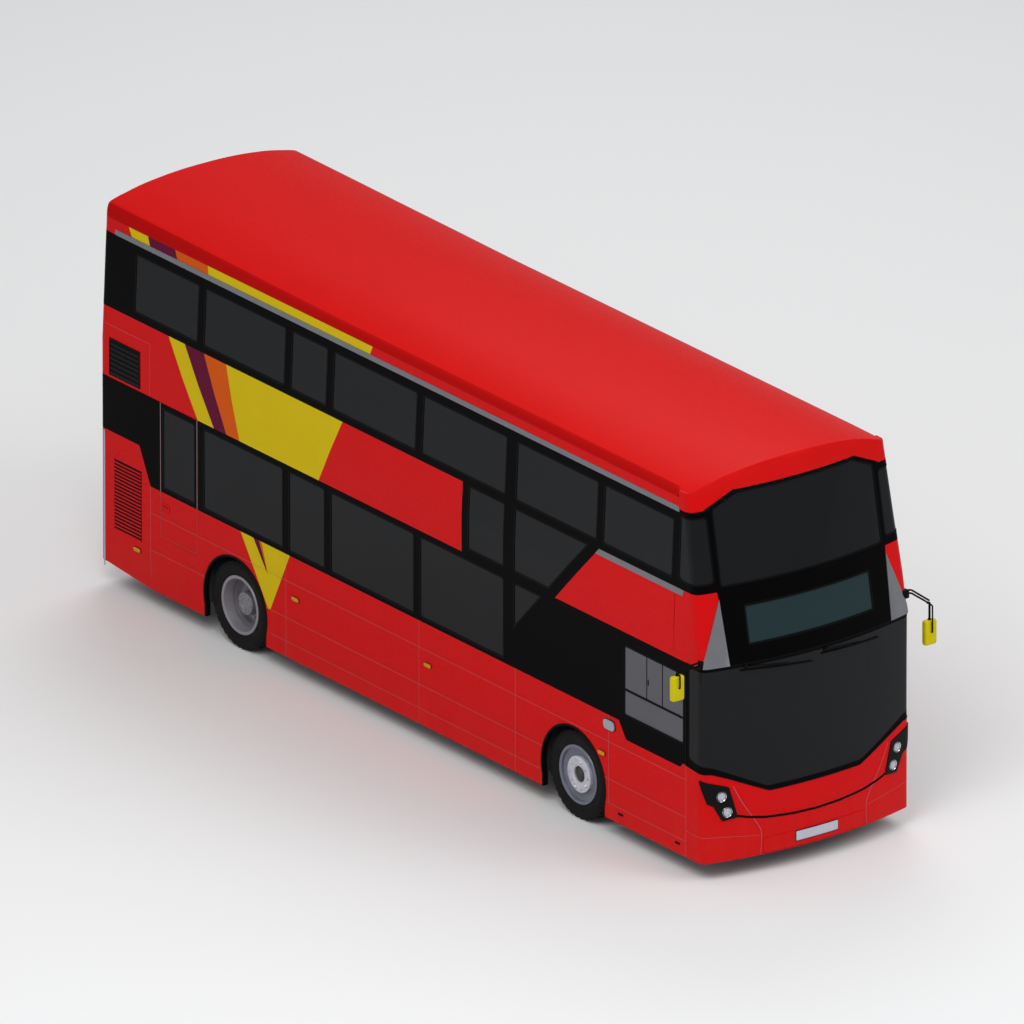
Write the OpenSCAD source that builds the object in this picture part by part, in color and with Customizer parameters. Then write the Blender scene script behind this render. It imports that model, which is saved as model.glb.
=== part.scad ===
// Double decker bus, right-hand drive, parked on its wheels.
// +X forward, +Y to the vehicle's left, +Z up; origin on the ground under the
// middle of the overall box. Millimetres.

/* [Overall] */
// From the rear axle to the front axle
wheelbase = 5560; // [4600:10:6800]
// From the front axle to the front of the bumper
front_overhang = 2270; // [2150:10:2600]
// From the rear axle to the rearmost lamp face
rear_overhang = 2270; // [2200:10:2600]
// Width over the side walls
body_w = 2550; // [2100:10:3100]
// Height of the roof crown above the ground
body_h = 4185; // [4170:5:4500]
// Height of the skirt's lower edge
skirt_z = 200; // [190:5:215]
// Rise of the skirt at the rear corner
skirt_rise = 63; // [40:1:80]

/* [Shell] */
// Thickness of a side wall
wall_t = 50; // [36:1:60]
// Thickness of the roof
roof_t = 40; // [30:1:60]
// Height where the lower side panels meet the upper ones
split_z = 2250; // [2245:1:2255]
// Height where the upper side walls begin to lean in
tumble_z = 2630; // [2500:10:2800]
// Lean of the upper side walls, sideways per unit of height
tumble = 0.047; // [0.03:0.001:0.06]
// Height where the side walls meet the roof
cant_z = 3910; // [3890:5:3950]
// Plan radius of the bowed front
bow_r = 4600; // [4000:50:6000]
// Plan radius of the front corners
nose_r = 130; // [100:5:150]
// Plan radius of the rear corners
tail_r = 80; // [80:5:135]
// Rake of the upper front, backwards per unit of height
rake = 0.1965; // [0.15:0.001:0.22]
// How far the bumper and the lamps stand proud of the end panels
proud = 10; // [6:1:12]

/* [Windows] */
// Lower edge of the lower windows
low_sill_z = 1340; // [1300:5:1400]
// Upper edge of the lower windows
low_head_z = 2190; // [2150:5:2200]
// Lower edge of the upper windows
up_sill_z = 3060; // [3000:5:3100]
// Upper edge of the upper windows
up_head_z = 3670; // [3600:5:3720]
// Width of a window pillar
pillar_w = 100; // [80:1:120]
// Corner radius of a window
window_r = 30; // [15:1:45]
// Thickness of the glass
glass_t = 8; // [5:1:10]
// How far the glass lies inside the panel's face
glass_in = 3; // [2:1:6]
// Gap between a fixed pane and its frame
pane_gap = 0.3; // [0.2:0.1:0.6]

/* [Decks] */
// Top of the lower floor
floor_z = 340; // [330:5:345]
// Top of the raised floor at the rear
rear_floor_z = 780; // [770:5:790]
// Top of the upper floor
upper_floor_z = 2400; // [2380:5:2420]
// Thickness of a floor
floor_t = 40; // [30:1:44]
// Width of the staircase
stair_w = 670; // [600:10:720]
// Number of steps
steps_n = 9; // [8:1:10]
// Length of one step
going = 222; // [200:1:230]

/* [Wheels] */
// Outer radius of a tyre
tyre_r = 464; // [440:1:470]
// Width of a tyre
tyre_w = 255; // [230:1:260]
// Radius of the rim's seat
rim_r = 286; // [270:1:290]
// From the side wall's face to the tyre's outer face
tyre_inset = 40; // [35:1:60]
// Distance between the two tyres of a twin wheel, centre to centre
twin_pitch = 300; // [296:1:320]
// Radius of a wheel arch
arch_r = 513; // [505:1:540]
// Half width of a wheel arch at the skirt
arch_foot = 490; // [480:1:505]
// From the kingpin to the middle of the front wheel
kingpin_in = 60; // [50:1:65]
// Radius of a kingpin
kingpin_r = 20; // [16:1:24]
// Running clearance round a pin or spindle
pin_gap = 0.5; // [0.3:0.1:1]
// Gap between a moving piece and its neighbour
move_gap = 6; // [5:0.5:8]

/* [Doors] */
// Clear width of the entrance
entrance_w = 1110; // [1000:10:1160]
// From the front axle to the rear edge of the entrance
entrance_x = 650; // [640:5:680]
// Thickness of an entrance leaf
leaf_t = 36; // [30:1:40]
// Width of the emergency door
exit_w = 630; // [560:5:640]
// From the rear axle back to the emergency door's front edge
exit_x = 619; // [600:1:640]
// Sill of the emergency door
exit_sill_z = 806; // [800:1:820]
// Width of the engine cover
cover_w = 1700; // [1400:10:1900]
// Lower edge of the engine cover
cover_z0 = 480; // [450:5:520]
// Upper edge of the engine cover
cover_z1 = 1500; // [1400:5:1550]
// Radius of a door's hinge pin
hinge_r = 8; // [6:1:10]

/* [Inside] */
// Width of a double seat
seat_w = 880; // [800:10:900]
// Distance between two rows of seats
seat_pitch = 760; // [720:5:900]
// Thickness of a seat cushion
cushion_t = 90; // [70:1:110]
// Radius of the steering wheel
wheel_ring_r = 225; // [200:1:240]

/* [Hidden] */
$fn = 48;

body_l = front_overhang + wheelbase + rear_overhang;
front_x = body_l / 2;
rear_x = -body_l / 2;
axle_f = front_x - front_overhang;
axle_r = rear_x + rear_overhang;
nose_x = front_x - proud;
tail_x = rear_x + proud;
half_w = body_w / 2;
inner_y = half_w - wall_t;
hub_z = tyre_r;
tail_seam_x = tail_x + 140;
nose_seam_x = axle_f + 1824;
upper_seam_x = axle_f + 1620;
nose_top_z = cant_z + 70;
roof_nose_x = nose_x - rake * (nose_top_z - split_z);
lip_y = half_w - tumble * (cant_z - tumble_z);
cove_y = lip_y - 85;
cove_z = cant_z + 170;
wheel_y = half_w - tyre_inset - tyre_w / 2;
kingpin_y = wheel_y - kingpin_in;
overlap = 1;

// Pillars of the right and left sides: the rear ones go with the rear axle,
// the front ones with the front axle, and the bay between them is what is left.
pillars = [axle_r - 597, axle_r + 840, axle_r + 1530, axle_f - 2560];
stair_pillar = [axle_f - 1140, axle_f - 975];
front_pillar = axle_f + 395;
window_start = tail_x + 562;
exit_x1 = axle_r - exit_x;
exit_x0 = exit_x1 - exit_w;
entrance_x0 = axle_f + entrance_x;
entrance_x1 = entrance_x0 + entrance_w;
cab_window = [axle_f + 829, axle_f + 1786];

// Rails of the chassis
rail_y = 420;
rail_w = 80;
rail_h = 80;
rail_z = floor_z - floor_t - rail_h;
rear_rail_z = rear_floor_z - floor_t - rail_h;
step_x = axle_r + 660;
bulkhead_x = axle_r - exit_x - exit_w - 21;
bulkhead_z = 1600;
bulkhead_t = 30;
post_x = step_x - floor_t;
cradle_z = skirt_z + skirt_rise + 10;
cradle_top_z = cradle_z + 60;
tow_r = 20;
tow_l = 60;

// From a leaf's outer face and edge to its hinge pin, and the pin's reach past the leaf.
hinge_in = 12;
pin_l = 24;

// Entrance leaves: from the doorway's edge to the turning pillar, and the leaf's size.
leaf_gap = 30;
leaf_y = half_w - wall_t / 2;
leaf_w = entrance_w / 2 - leaf_gap - move_gap / 2;
leaf_z = [floor_z + 10 + move_gap, low_head_z - move_gap];

// Boxes over the wheels, from their inner faces to the side walls.
wheel_box_y = half_w - 635;
wheel_box_half = 580;
wheel_box_z = 1020;
wheel_box_t = 20;

function lean(z) = tumble * max(0, z - tumble_z);
function arc(c, r, a0, a1, n) =
    [for (i = [0 : n]) let (a = a0 + (a1 - a0) * i / n) c + r * [cos(a), sin(a)]];

// Plan of the nose: the bowed front and its two round corners, closed at x0.
function nose_plan(inset, hw, xf, x0) =
    let (
        bow_c = [xf - bow_r, 0],
        fy = hw - nose_r,
        fx = bow_c.x + sqrt(pow(bow_r - nose_r, 2) - fy * fy),
        turn = asin(fy / (bow_r - nose_r))
    )
    concat(
        [[x0, hw - inset]],
        arc([fx, fy], nose_r - inset, 90, turn, 8),
        arc(bow_c, bow_r - inset, turn - 0.6, 0.6 - turn, 22),
        arc([fx, -fy], nose_r - inset, -turn, -90, 8),
        [[x0, inset - hw]]
    );

// Plan of the tail: a flat back and two round corners, closed at x0.
function tail_plan(inset, hw, x0) =
    concat(
        [[x0, inset - hw]],
        arc([tail_x + tail_r, tail_r - hw], tail_r - inset, -90, -180, 8),
        arc([tail_x + tail_r, hw - tail_r], tail_r - inset, 180, 90, 8),
        [[x0, hw - inset]]
    );

// Section across the upper body, from the split line over the roof.
function cove(inset) =
    [[lip_y - inset, cant_z], [lip_y - 10 - inset, cant_z + 60],
     [lip_y - 38 - inset, cant_z + 120], [cove_y - inset, cove_z - inset / 2]];
function camber(inset) =
    let (rise = body_h - cove_z, r = (cove_y * cove_y + rise * rise) / (2 * rise))
    [for (i = [1 : 11]) let (y = cove_y * (1 - i / 6))
        [y, body_h - inset - r + sqrt(r * r - y * y)]];
function roof_section(inset, z0) =
    concat([[lip_y - inset, z0]], cove(inset), camber(inset),
           [for (i = [3 : -1 : 0]) let (p = cove(inset)[i]) [-p.x, p.y]], [[inset - lip_y, z0]]);

// Rectangle with round corners, by its edges.
module rounded(x0, x1, y0, y1, r) {
    translate([x0 + r, y0]) square([x1 - x0 - 2 * r, y1 - y0]);
    translate([x0, y0 + r]) square([x1 - x0, y1 - y0 - 2 * r]);
    for (x = [x0 + r, x1 - r], y = [y0 + r, y1 - r]) translate([x, y]) circle(r);
}

// Box by its lowest and highest corner.
module block(a, b) {
    translate(a) cube(b - a);
}

// Extrudes an x-z drawing over a range of y.
module along_y(y0, y1) {
    translate([0, y1, 0]) rotate([90, 0, 0]) linear_extrude(y1 - y0) children();
}

// Extrudes a y-z drawing over a range of x.
module along_x(x0, x1) {
    translate([x0, 0, 0]) rotate([90, 0, 90]) linear_extrude(x1 - x0) children();
}

// Extrudes an x-y drawing over a range of z.
module along_z(z0, z1) {
    translate([0, 0, z0]) linear_extrude(z1 - z0) children();
}

// Shows its children on the right (-1) or left (1) side; drawn for the left.
module on_side(side) {
    if (side > 0) children();
    else mirror([0, 1, 0]) children();
}

// Windows of one lower side, each as [x0, x1].
function lower_bays(side) =
    concat(
        side > 0 ? [[exit_x0 + 6, exit_x1 - 6]] : [],
        [[pillars[0] + pillar_w * 0.7, pillars[1] - pillar_w / 2],
         [pillars[1] + pillar_w / 2, pillars[2] - pillar_w / 2],
         [pillars[2] + pillar_w / 2, pillars[3] - pillar_w / 2],
         [pillars[3] + pillar_w / 2, stair_pillar[0]]],
        side > 0 ? [[stair_pillar[1], entrance_x0 - 140]] : []
    );

// Windows of one upper side, each as [x0, x1].
upper_bays = [
    [window_start, pillars[0] - pillar_w / 2],
    [pillars[0] + pillar_w / 2, pillars[1] - pillar_w / 2],
    [pillars[1] + pillar_w / 2, pillars[2] - pillar_w / 2],
    [pillars[2] + pillar_w / 2, pillars[3] - pillar_w / 2],
    [pillars[3] + pillar_w / 2, stair_pillar[0]],
    [stair_pillar[1], front_pillar - pillar_w / 2],
    [front_pillar + pillar_w / 2, upper_seam_x - 53]
];

// Stair windows beside the right-hand stairs: two above the split line, one below.
stair_low_x = stair_pillar[1];
stair_quad = [[stair_low_x, split_z + 60], [stair_low_x + 560, split_z + 60],
              [stair_low_x + 1190, split_z + 722], [stair_low_x, split_z + 722]];
stair_tri = [[stair_low_x, split_z - 530], [stair_low_x + 450, split_z - 60],
             [stair_low_x, split_z - 60]];

module lower_window_cuts(side, shrink) {
    for (b = lower_bays(side))
        rounded(b.x + shrink, b.y - shrink, low_sill_z + shrink, low_head_z - shrink,
                window_r - shrink);
    if (side < 0) {
        rounded(cab_window.x + shrink, cab_window.y - shrink, low_sill_z + 42 + shrink,
                low_head_z - 76 - shrink, window_r - shrink);
        offset(delta = -shrink) polygon(stair_tri);
    }
}

module upper_window_cuts(side, shrink) {
    for (b = upper_bays)
        rounded(b.x + shrink, b.y - shrink, up_sill_z + shrink, up_head_z - shrink,
                window_r - shrink);
    if (side < 0) {
        rounded(stair_pillar[0] - 585 + shrink, stair_pillar[0] - shrink,
                split_z + 55 + shrink, split_z + 722 - shrink, window_r - shrink);
        offset(delta = -shrink) polygon(stair_quad);
    }
}

module arch_cut(x) {
    translate([x, hub_z]) circle(arch_r, $fn = 96);
    translate([x - arch_foot, 0]) square([2 * arch_foot, hub_z]);
}

// Lower side wall, drawn for the left; the right one has the emergency door.
module lower_side(side) {
    on_side(side) difference() {
        along_y(inner_y, half_w) difference() {
            polygon([
                [tail_seam_x, skirt_z + skirt_rise], [exit_x0 - 150, skirt_z],
                [nose_seam_x, skirt_z], [nose_seam_x, split_z], [tail_seam_x, split_z]
            ]);
            arch_cut(axle_f);
            arch_cut(axle_r);
            lower_window_cuts(side, 0);
            if (side < 0)
                translate([exit_x0, exit_sill_z])
                    square([exit_w, split_z - exit_sill_z + overlap]);
            else
                translate([entrance_x0, floor_z + 10])
                    square([entrance_w, low_head_z - floor_z - 10]);
        }
        if (side > 0)
            for (x = [entrance_x0 + leaf_gap, entrance_x1 - leaf_gap])
                translate([x, leaf_y, floor_z + 10 - pin_l])
                    cylinder(r = hinge_r + pin_gap, h = low_head_z - floor_z - 10 + 2 * pin_l);
        else
            translate([exit_x1 - hinge_in - move_gap, half_w - hinge_in, exit_sill_z - pin_l])
                cylinder(r = hinge_r + pin_gap, h = pin_l + overlap);
    }
}

module right_lower_side() {
    color("firebrick") lower_side(-1);
}

module left_lower_side() {
    color("firebrick") lower_side(1);
}

// Upper side wall, drawn for the left, with its lean above tumble_z.
module upper_side(side) {
    on_side(side) difference() {
        along_x(tail_seam_x, upper_seam_x) polygon([
            [half_w, split_z], [half_w, tumble_z], [lip_y, cant_z],
            [lip_y - wall_t, cant_z], [inner_y, tumble_z], [inner_y, split_z]
        ]);
        along_y(inner_y - 200, half_w + overlap) upper_window_cuts(side, 0);
        if (side < 0)
            translate([exit_x1 - hinge_in - move_gap, half_w - hinge_in, split_z - overlap])
                cylinder(r = hinge_r + pin_gap, h = pin_l + overlap);
    }
}

module right_upper_side() {
    color("firebrick") upper_side(-1);
}

module left_upper_side() {
    color("firebrick") upper_side(1);
}

// Solid roof form: the section run along the bus, rounded at both ends.
module roof_form(inset, z0) {
    intersection() {
        along_x(tail_x + inset, nose_x) polygon(roof_section(inset, z0));
        along_z(z0, body_h) polygon(concat(
            tail_plan(inset, lip_y, 0), nose_plan(inset, lip_y, roof_nose_x, 0)
        ));
        along_y(-half_w, half_w) polygon([
            [tail_x + inset, z0], [tail_x + inset, cant_z + 70],
            [tail_x + inset + 25, cant_z + 150], [tail_x + inset + 90, body_h - 45 - inset],
            [tail_x + inset + 260, body_h - inset], [roof_nose_x - inset - 300, body_h - inset],
            [roof_nose_x - inset - 110, body_h - 28 - inset],
            [roof_nose_x - inset - 50, nose_top_z + 150],
            [roof_nose_x - inset - 14, nose_top_z + 60], [roof_nose_x - inset, z0]
        ]);
    }
}

module roof() {
    color("crimson") difference() {
        roof_form(0, cant_z);
        roof_form(roof_t, cant_z - overlap);
        block([upper_seam_x, -half_w, cant_z - overlap], [front_x, half_w, nose_top_z]);
    }
}

// Upright band round the nose between two heights.
module nose_band(inset, t, z0, z1, x0) {
    along_z(z0, z1) difference() {
        polygon(nose_plan(inset, half_w, nose_x, x0));
        polygon(nose_plan(inset + t, half_w, nose_x, x0 - overlap));
    }
}

// Lower edge of the windscreen, as a y-z outline that opens upwards.
module screen_drop(z_top, gap) {
    polygon([
        [-half_w - overlap, 1170 + gap], [-1000, 1067 + gap], [-555, 865 + gap],
        [555, 865 + gap], [1000, 1067 + gap], [half_w + overlap, 1170 + gap],
        [half_w + overlap, z_top], [-half_w - overlap, z_top]
    ]);
}

// Seam between bumper and front panel.
module bumper_line(z_low) {
    polygon([
        [-half_w - overlap, z_low], [-half_w - overlap, 480], [-900, 440], [-500, 385],
        [500, 385], [900, 440], [half_w + overlap, 480], [half_w + overlap, z_low]
    ]);
}

module front_bumper() {
    color("firebrick") union() {
        intersection() {
            nose_band(0, wall_t, skirt_z, 480, nose_seam_x);
            along_x(0, front_x) bumper_line(0);
        }
        intersection() {
            nose_band(-proud, proud + overlap, skirt_z + 20, 372, front_x - 400);
            block([0, -700, 0], [front_x, 700, 372]);
        }
    }
}

// Outline of a headlamp unit, drawn for the left.
headlamp = [[1205, 1040], [995, 977], [900, 646], [1060, 635], [1140, 795], [1195, 825]];

module front_panel() {
    color("firebrick") difference() {
        nose_band(0, wall_t, 385, 1170, nose_seam_x);
        along_x(0, front_x) bumper_line(0);
        along_x(0, front_x) screen_drop(split_z, 0);
        for (s = [1, -1]) on_side(s)
            along_x(axle_f, front_x) polygon(headlamp);
    }
}

// Raked upper nose as a solid, between the split line and the roof lip.
module upper_nose(inset) {
    for (z = [[split_z, tumble_z], [tumble_z, nose_top_z]])
        hull() for (h = [z.x, z.y - 0.01])
            translate([0, 0, h]) linear_extrude(0.01)
                polygon(nose_plan(inset, half_w - lean(h), nose_x - rake * (h - split_z),
                                  upper_seam_x - (inset > 0 ? overlap : 0)));
}

display_y = 762;
display_z = [2431, 2813];

// Openings of the upper nose, as y-z outlines and as the side view of the corner panes.
module upper_screen_outline(shrink) {
    polygon([
        [-986 + shrink, 3030 + shrink], [986 - shrink, 3030 + shrink],
        [986 - shrink, 3800 - shrink], [708 - shrink, 3925 - shrink],
        [shrink - 708, 3925 - shrink], [shrink - 986, 3800 - shrink]
    ]);
}

module corner_pane_outline(shrink) {
    polygon([
        [upper_seam_x + 53 + shrink, up_sill_z + 10 + shrink],
        [front_x, up_sill_z + 10 + shrink], [front_x, up_head_z + 10 - shrink],
        [upper_seam_x + 43 + shrink, up_head_z + 10 - shrink]
    ]);
}

module corner_pane_form(side, shrink) {
    on_side(side) intersection() {
        along_y(1046 + shrink, half_w + overlap) corner_pane_outline(shrink);
        block([0, 1046 + shrink, 0], [front_x, half_w + overlap, body_h]);
    }
}

module front_upper_panel() {
    color("#141414") difference() {
        intersection() {
            upper_nose(0);
            along_x(0, front_x) polygon(concat(
                [[half_w + overlap, split_z - overlap], [half_w + overlap, tumble_z],
                 [lip_y + overlap, cant_z]],
                [for (p = cove(0)) p], [[cove_y, body_h], [-cove_y, body_h]],
                [for (i = [3 : -1 : 0]) let (p = cove(0)[i]) [-p.x, p.y]],
                [[-lip_y - overlap, cant_z], [-half_w - overlap, tumble_z],
                 [-half_w - overlap, split_z - overlap]]));
        }
        upper_nose(wall_t);
        along_x(0, front_x) upper_screen_outline(0);
        along_x(0, front_x) translate([-display_y, display_z.x])
            square([2 * display_y, display_z.y - display_z.x]);
        for (s = [1, -1]) corner_pane_form(s, 0);
    }
}

module windscreen() {
    color("#202326") intersection() {
        nose_band(glass_in, glass_t, 800, split_z - pane_gap, nose_seam_x + pane_gap);
        along_x(0, front_x) screen_drop(split_z, pane_gap);
    }
}

module upper_windscreen() {
    color("#202326") difference() {
        intersection() {
            upper_nose(glass_in);
            union() {
                along_x(upper_seam_x + 20, front_x) upper_screen_outline(pane_gap);
                for (s = [1, -1]) corner_pane_form(s, pane_gap);
            }
        }
        upper_nose(glass_in + glass_t);
    }
}

// Blind box behind the upper front panel, its glass flush with the opening.
module destination_display() {
    color("#26343a") intersection() {
        block([nose_x - 260, pane_gap - display_y, display_z.x + pane_gap],
              [front_x, display_y - pane_gap, display_z.y - pane_gap]);
        upper_nose(glass_in);
    }
}

module rear_lower_panel() {
    color("firebrick") difference() {
        along_z(skirt_z + skirt_rise, split_z) difference() {
            polygon(tail_plan(0, half_w, tail_seam_x));
            polygon(tail_plan(wall_t, half_w, tail_seam_x + overlap));
        }
        block([tail_x - overlap, -cover_w / 2, cover_z0],
              [tail_x + 2 * wall_t, cover_w / 2, cover_z1]);
        translate([tail_x + hinge_in, -cover_w / 2 - pin_l, cover_z1 - hinge_in - move_gap])
            rotate([-90, 0, 0]) cylinder(r = hinge_r + pin_gap, h = cover_w + 2 * pin_l);
        for (s = [1, -1]) on_side(s)
            along_x(tail_x - overlap, tail_x + 100) rounded(1000, 1160, 800, 1560, 20);
    }
}

// Tail of the upper deck as a solid, leaning in like the side walls.
module upper_tail(inset) {
    for (z = [[split_z, tumble_z], [tumble_z, cant_z]])
        hull() for (h = [z.x, z.y - 0.01])
            translate([0, 0, h]) linear_extrude(0.01)
                polygon(tail_plan(inset, half_w - lean(h),
                                  tail_seam_x + (inset > 0 ? overlap : 0)));
}

rear_window_y = 950;

module rear_upper_panel() {
    color("firebrick") difference() {
        upper_tail(0);
        upper_tail(wall_t);
        along_x(tail_x - overlap, tail_x + wall_t + overlap)
            rounded(-rear_window_y, rear_window_y, up_sill_z, up_head_z, window_r * 2);
    }
}

module lower_windows() {
    color("#202326") for (s = [1, -1]) on_side(s)
        along_y(half_w - glass_in - glass_t, half_w - glass_in) lower_window_cuts(s, pane_gap);
}

module upper_windows() {
    color("#202326") {
        for (s = [1, -1]) on_side(s) intersection() {
            along_y(inner_y - 200, half_w + overlap) upper_window_cuts(s, pane_gap);
            along_x(tail_seam_x, upper_seam_x) polygon([
                [half_w - glass_in, split_z], [half_w - glass_in, tumble_z],
                [lip_y - glass_in, cant_z], [lip_y - glass_in - glass_t, cant_z],
                [half_w - glass_in - glass_t, tumble_z], [half_w - glass_in - glass_t, split_z]
            ]);
        }
        along_x(tail_x + glass_in, tail_x + glass_in + glass_t)
            rounded(pane_gap - rear_window_y, rear_window_y - pane_gap, up_sill_z + pane_gap,
                    up_head_z - pane_gap, window_r * 2 - pane_gap);
    }
}

// ---- Floors and frame ----

// One length of the left chassis rail.
module rail(x0, x1, z0, z1) {
    block([x0, rail_y - rail_w / 2, z0], [x1, rail_y + rail_w / 2, z1]);
}

outrigger_x = [axle_r + 900, axle_r + 1900, axle_f - 1800, axle_f - 800, axle_f + 1500];

module chassis_frame() {
    color("#3a3a3a") difference() {
        union() {
            for (s = [1, -1]) on_side(s)
                rail(post_x, front_x - 120, rail_z, rail_z + rail_h);
            for (x = outrigger_x)
                block([x - 30, -inner_y, rail_z], [x + 30, inner_y, rail_z + rail_h]);
            block([front_x - 200, -500, rail_z], [front_x - 120, 500, rail_z + rail_h]);
            for (x = [axle_r + 900, axle_f - 800], s = [1, -1]) on_side(s)
                translate([x, inner_y - 160, rail_z - 15]) cylinder(r = 60, h = 30);
            block([front_x - 300, -60, rail_z + 10], [front_x - 199, 60, rail_z + 10 + tow_l]);
        }
        translate([front_x - 250, 0, rail_z]) cylinder(r = tow_r, h = rail_h + 20);
    }
}

module rear_subframe() {
    color("#3a3a3a") {
        for (s = [1, -1]) on_side(s) {
            rail(post_x - rail_w, post_x, rail_z, rear_rail_z + rail_h);
            rail(bulkhead_x + bulkhead_t, post_x, rear_rail_z, rear_rail_z + rail_h);
            rail(bulkhead_x + bulkhead_t, bulkhead_x + bulkhead_t + rail_w, cradle_z,
                 rear_rail_z + rail_h);
            rail(tail_x + wall_t, bulkhead_x + bulkhead_t + rail_w, cradle_z, cradle_top_z);
        }
        block([tail_x + wall_t, 80 - inner_y, cradle_z],
              [tail_x + wall_t + 80, inner_y - 80, cradle_top_z]);
    }
}

module lower_floor() {
    color("#55585a") difference() {
        union() {
            block([step_x - floor_t, -inner_y, floor_z - floor_t], [nose_seam_x, inner_y, floor_z]);
            along_z(floor_z - floor_t, floor_z)
                polygon(nose_plan(wall_t, half_w, nose_x, nose_seam_x - 1));
            block([step_x - floor_t, -inner_y, floor_z - floor_t], [step_x, inner_y, rear_floor_z]);
            block([bulkhead_x, -inner_y, rear_floor_z - floor_t], [step_x, inner_y, rear_floor_z]);
            block([bulkhead_x, -inner_y, cradle_top_z],
                  [bulkhead_x + bulkhead_t, inner_y, bulkhead_z]);
            block([tail_seam_x, -inner_y, bulkhead_z - bulkhead_t],
                  [bulkhead_x + bulkhead_t, inner_y, bulkhead_z]);
        }
        for (x = [axle_f, axle_r], s = [1, -1]) on_side(s)
            block([x - wheel_box_half, wheel_box_y, 0], [x + wheel_box_half, half_w, wheel_box_z]);
    }
}

stair_x0 = axle_f - 1830;
stair_x1 = stair_x0 + going * steps_n;
stair_y = inner_y - stair_w;
rise = (upper_floor_z - floor_z) / steps_n;

module upper_floor() {
    color("#55585a") difference() {
        block([tail_seam_x, -inner_y, upper_floor_z - 60], [upper_seam_x, inner_y, upper_floor_z]);
        block([stair_x0 + 2.5 * going, -inner_y - overlap, upper_floor_z - 61],
              [stair_x1, -stair_y + 20, upper_floor_z + 1]);
    }
}

module staircase() {
    color("#6a6d70") translate([0, -stair_y - stair_w, 0]) along_y(2, stair_w) polygon(concat(
        [for (i = [0 : steps_n - 1], k = [0, 1])
            [stair_x0 + going * i, floor_z + rise * (i + k)]],
        [[stair_x1, upper_floor_z], [stair_x1, upper_floor_z - rise - 60],
         [stair_x0 + going, floor_z]]
    ));
}

module wheel_boxes() {
    t = wheel_box_t;
    color("#3f4244") for (x = [axle_f, axle_r], s = [1, -1]) on_side(s) difference() {
        block([x - wheel_box_half, wheel_box_y, floor_z - floor_t],
              [x + wheel_box_half, inner_y, wheel_box_z]);
        block([x - wheel_box_half + t, wheel_box_y + t, 0],
              [x + wheel_box_half - t, half_w, wheel_box_z - t]);
        if (x == axle_r)
            block([x - axle_tube_r - 40, 0, 0], [x + axle_tube_r + 40, wheel_box_y + t + overlap,
                   hub_z + axle_tube_r + 40]);
    }
}

// ---- Seats ----

// Double seat facing forward; its cushion's rear edge is at x, its foot at z.
module seat(x, y, z, w) {
    translate([x, y - w / 2, z]) {
        block([120, w / 2 - 200, 0], [200, w / 2 + 200, 340]);
        block([0, 0, 340], [430, w, 340 + cushion_t]);
        along_y(0, w) polygon([[0, 340], [70, 340], [30, 1010], [-50, 1010]]);
    }
}

seat_y = inner_y - 10 - seat_w / 2;
lower_rows = [for (i = [0 : 3]) step_x + 330 + i * seat_pitch];

module lower_seats() {
    color("#3d4a7a") {
        for (x = lower_rows, s = [1, -1])
            if (s > 0 || x + 600 < stair_x0) seat(x, s * seat_y, floor_z, seat_w);
        seat(bulkhead_x + 90, inner_y - 10 - seat_w / 2, rear_floor_z, seat_w);
        for (s = [1, -1]) on_side(s) {
            block([axle_r - 480, inner_y - 460, wheel_box_z],
                  [axle_r + 480, inner_y - 90, wheel_box_z + cushion_t]);
            block([axle_r - 480, inner_y - 90, wheel_box_z],
                  [axle_r + 480, inner_y - 10, wheel_box_z + 560]);
        }
    }
}

upper_rows = [for (x = [tail_seam_x + 200 : seat_pitch : upper_seam_x - 500]) x];

module upper_seats() {
    color("#3d4a7a") for (x = upper_rows, s = [1, -1])
        if (s > 0 || x + 480 < stair_x0 + 2.5 * going || x - 60 > stair_x1)
            seat(x, s * (seat_y - 35), upper_floor_z, seat_w);
}

// ---- Cab ----

cab_x = axle_f + wheel_box_half + 20;
cab_y = half_w - 875;
cab_wall_t = 30;
driver_y = cab_y + 415;
cab_door_w = 600;
cab_door_x = cab_x + 160;
cab_door_z = [floor_z + 160, 1450];

module driver_seat() {
    color("#2a2a2c") translate([axle_f + 960, -driver_y, floor_z]) {
        cylinder(r = 110, h = 330);
        block([-220, -240, 330], [250, 240, 440]);
        along_y(-230, 230) polygon([[-230, 440], [-120, 440], [-190, 1120], [-290, 1120]]);
    }
}

// Column of the steering wheel: its top, and how far it leans back.
column_top = [axle_f + 1560, -driver_y, 1080];
column_lean = 25;

module dashboard() {
    color("#1f2022") {
        intersection() {
            union() {
                block([front_x - 420, -inner_y + 10, 880], [front_x, -cab_y - 10, 1060]);
                block([front_x - 260, -inner_y + 60, floor_z], [front_x, -cab_y - 60, 900]);
            }
            along_z(0, 1200) polygon(nose_plan(wall_t + pane_gap, half_w, nose_x, nose_seam_x - 300));
        }
        difference() {
            translate(column_top) rotate([0, -column_lean, 0]) {
                translate([0, 0, -950]) cylinder(r = 32, h = 920);
                translate([0, 0, -31]) cylinder(r = 14, h = 27);
            }
            block([axle_f, -half_w, -overlap], [front_x, 0, floor_z]);
        }
    }
}

module steering_wheel() {
    color("#161616") translate(column_top) rotate([0, -column_lean, 0]) {
        rotate_extrude($fn = 64) translate([wheel_ring_r - 14, 0]) circle(14, $fn = 24);
        difference() {
            translate([0, 0, -24]) cylinder(r = 60, h = 30);
            translate([0, 0, -25]) cylinder(r = 14 + pin_gap, h = 23);
        }
        for (a = [90, 210, 330]) rotate([0, 0, a])
            translate([50, -14, -16]) cube([wheel_ring_r - 64, 28, 12]);
    }
}

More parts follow.
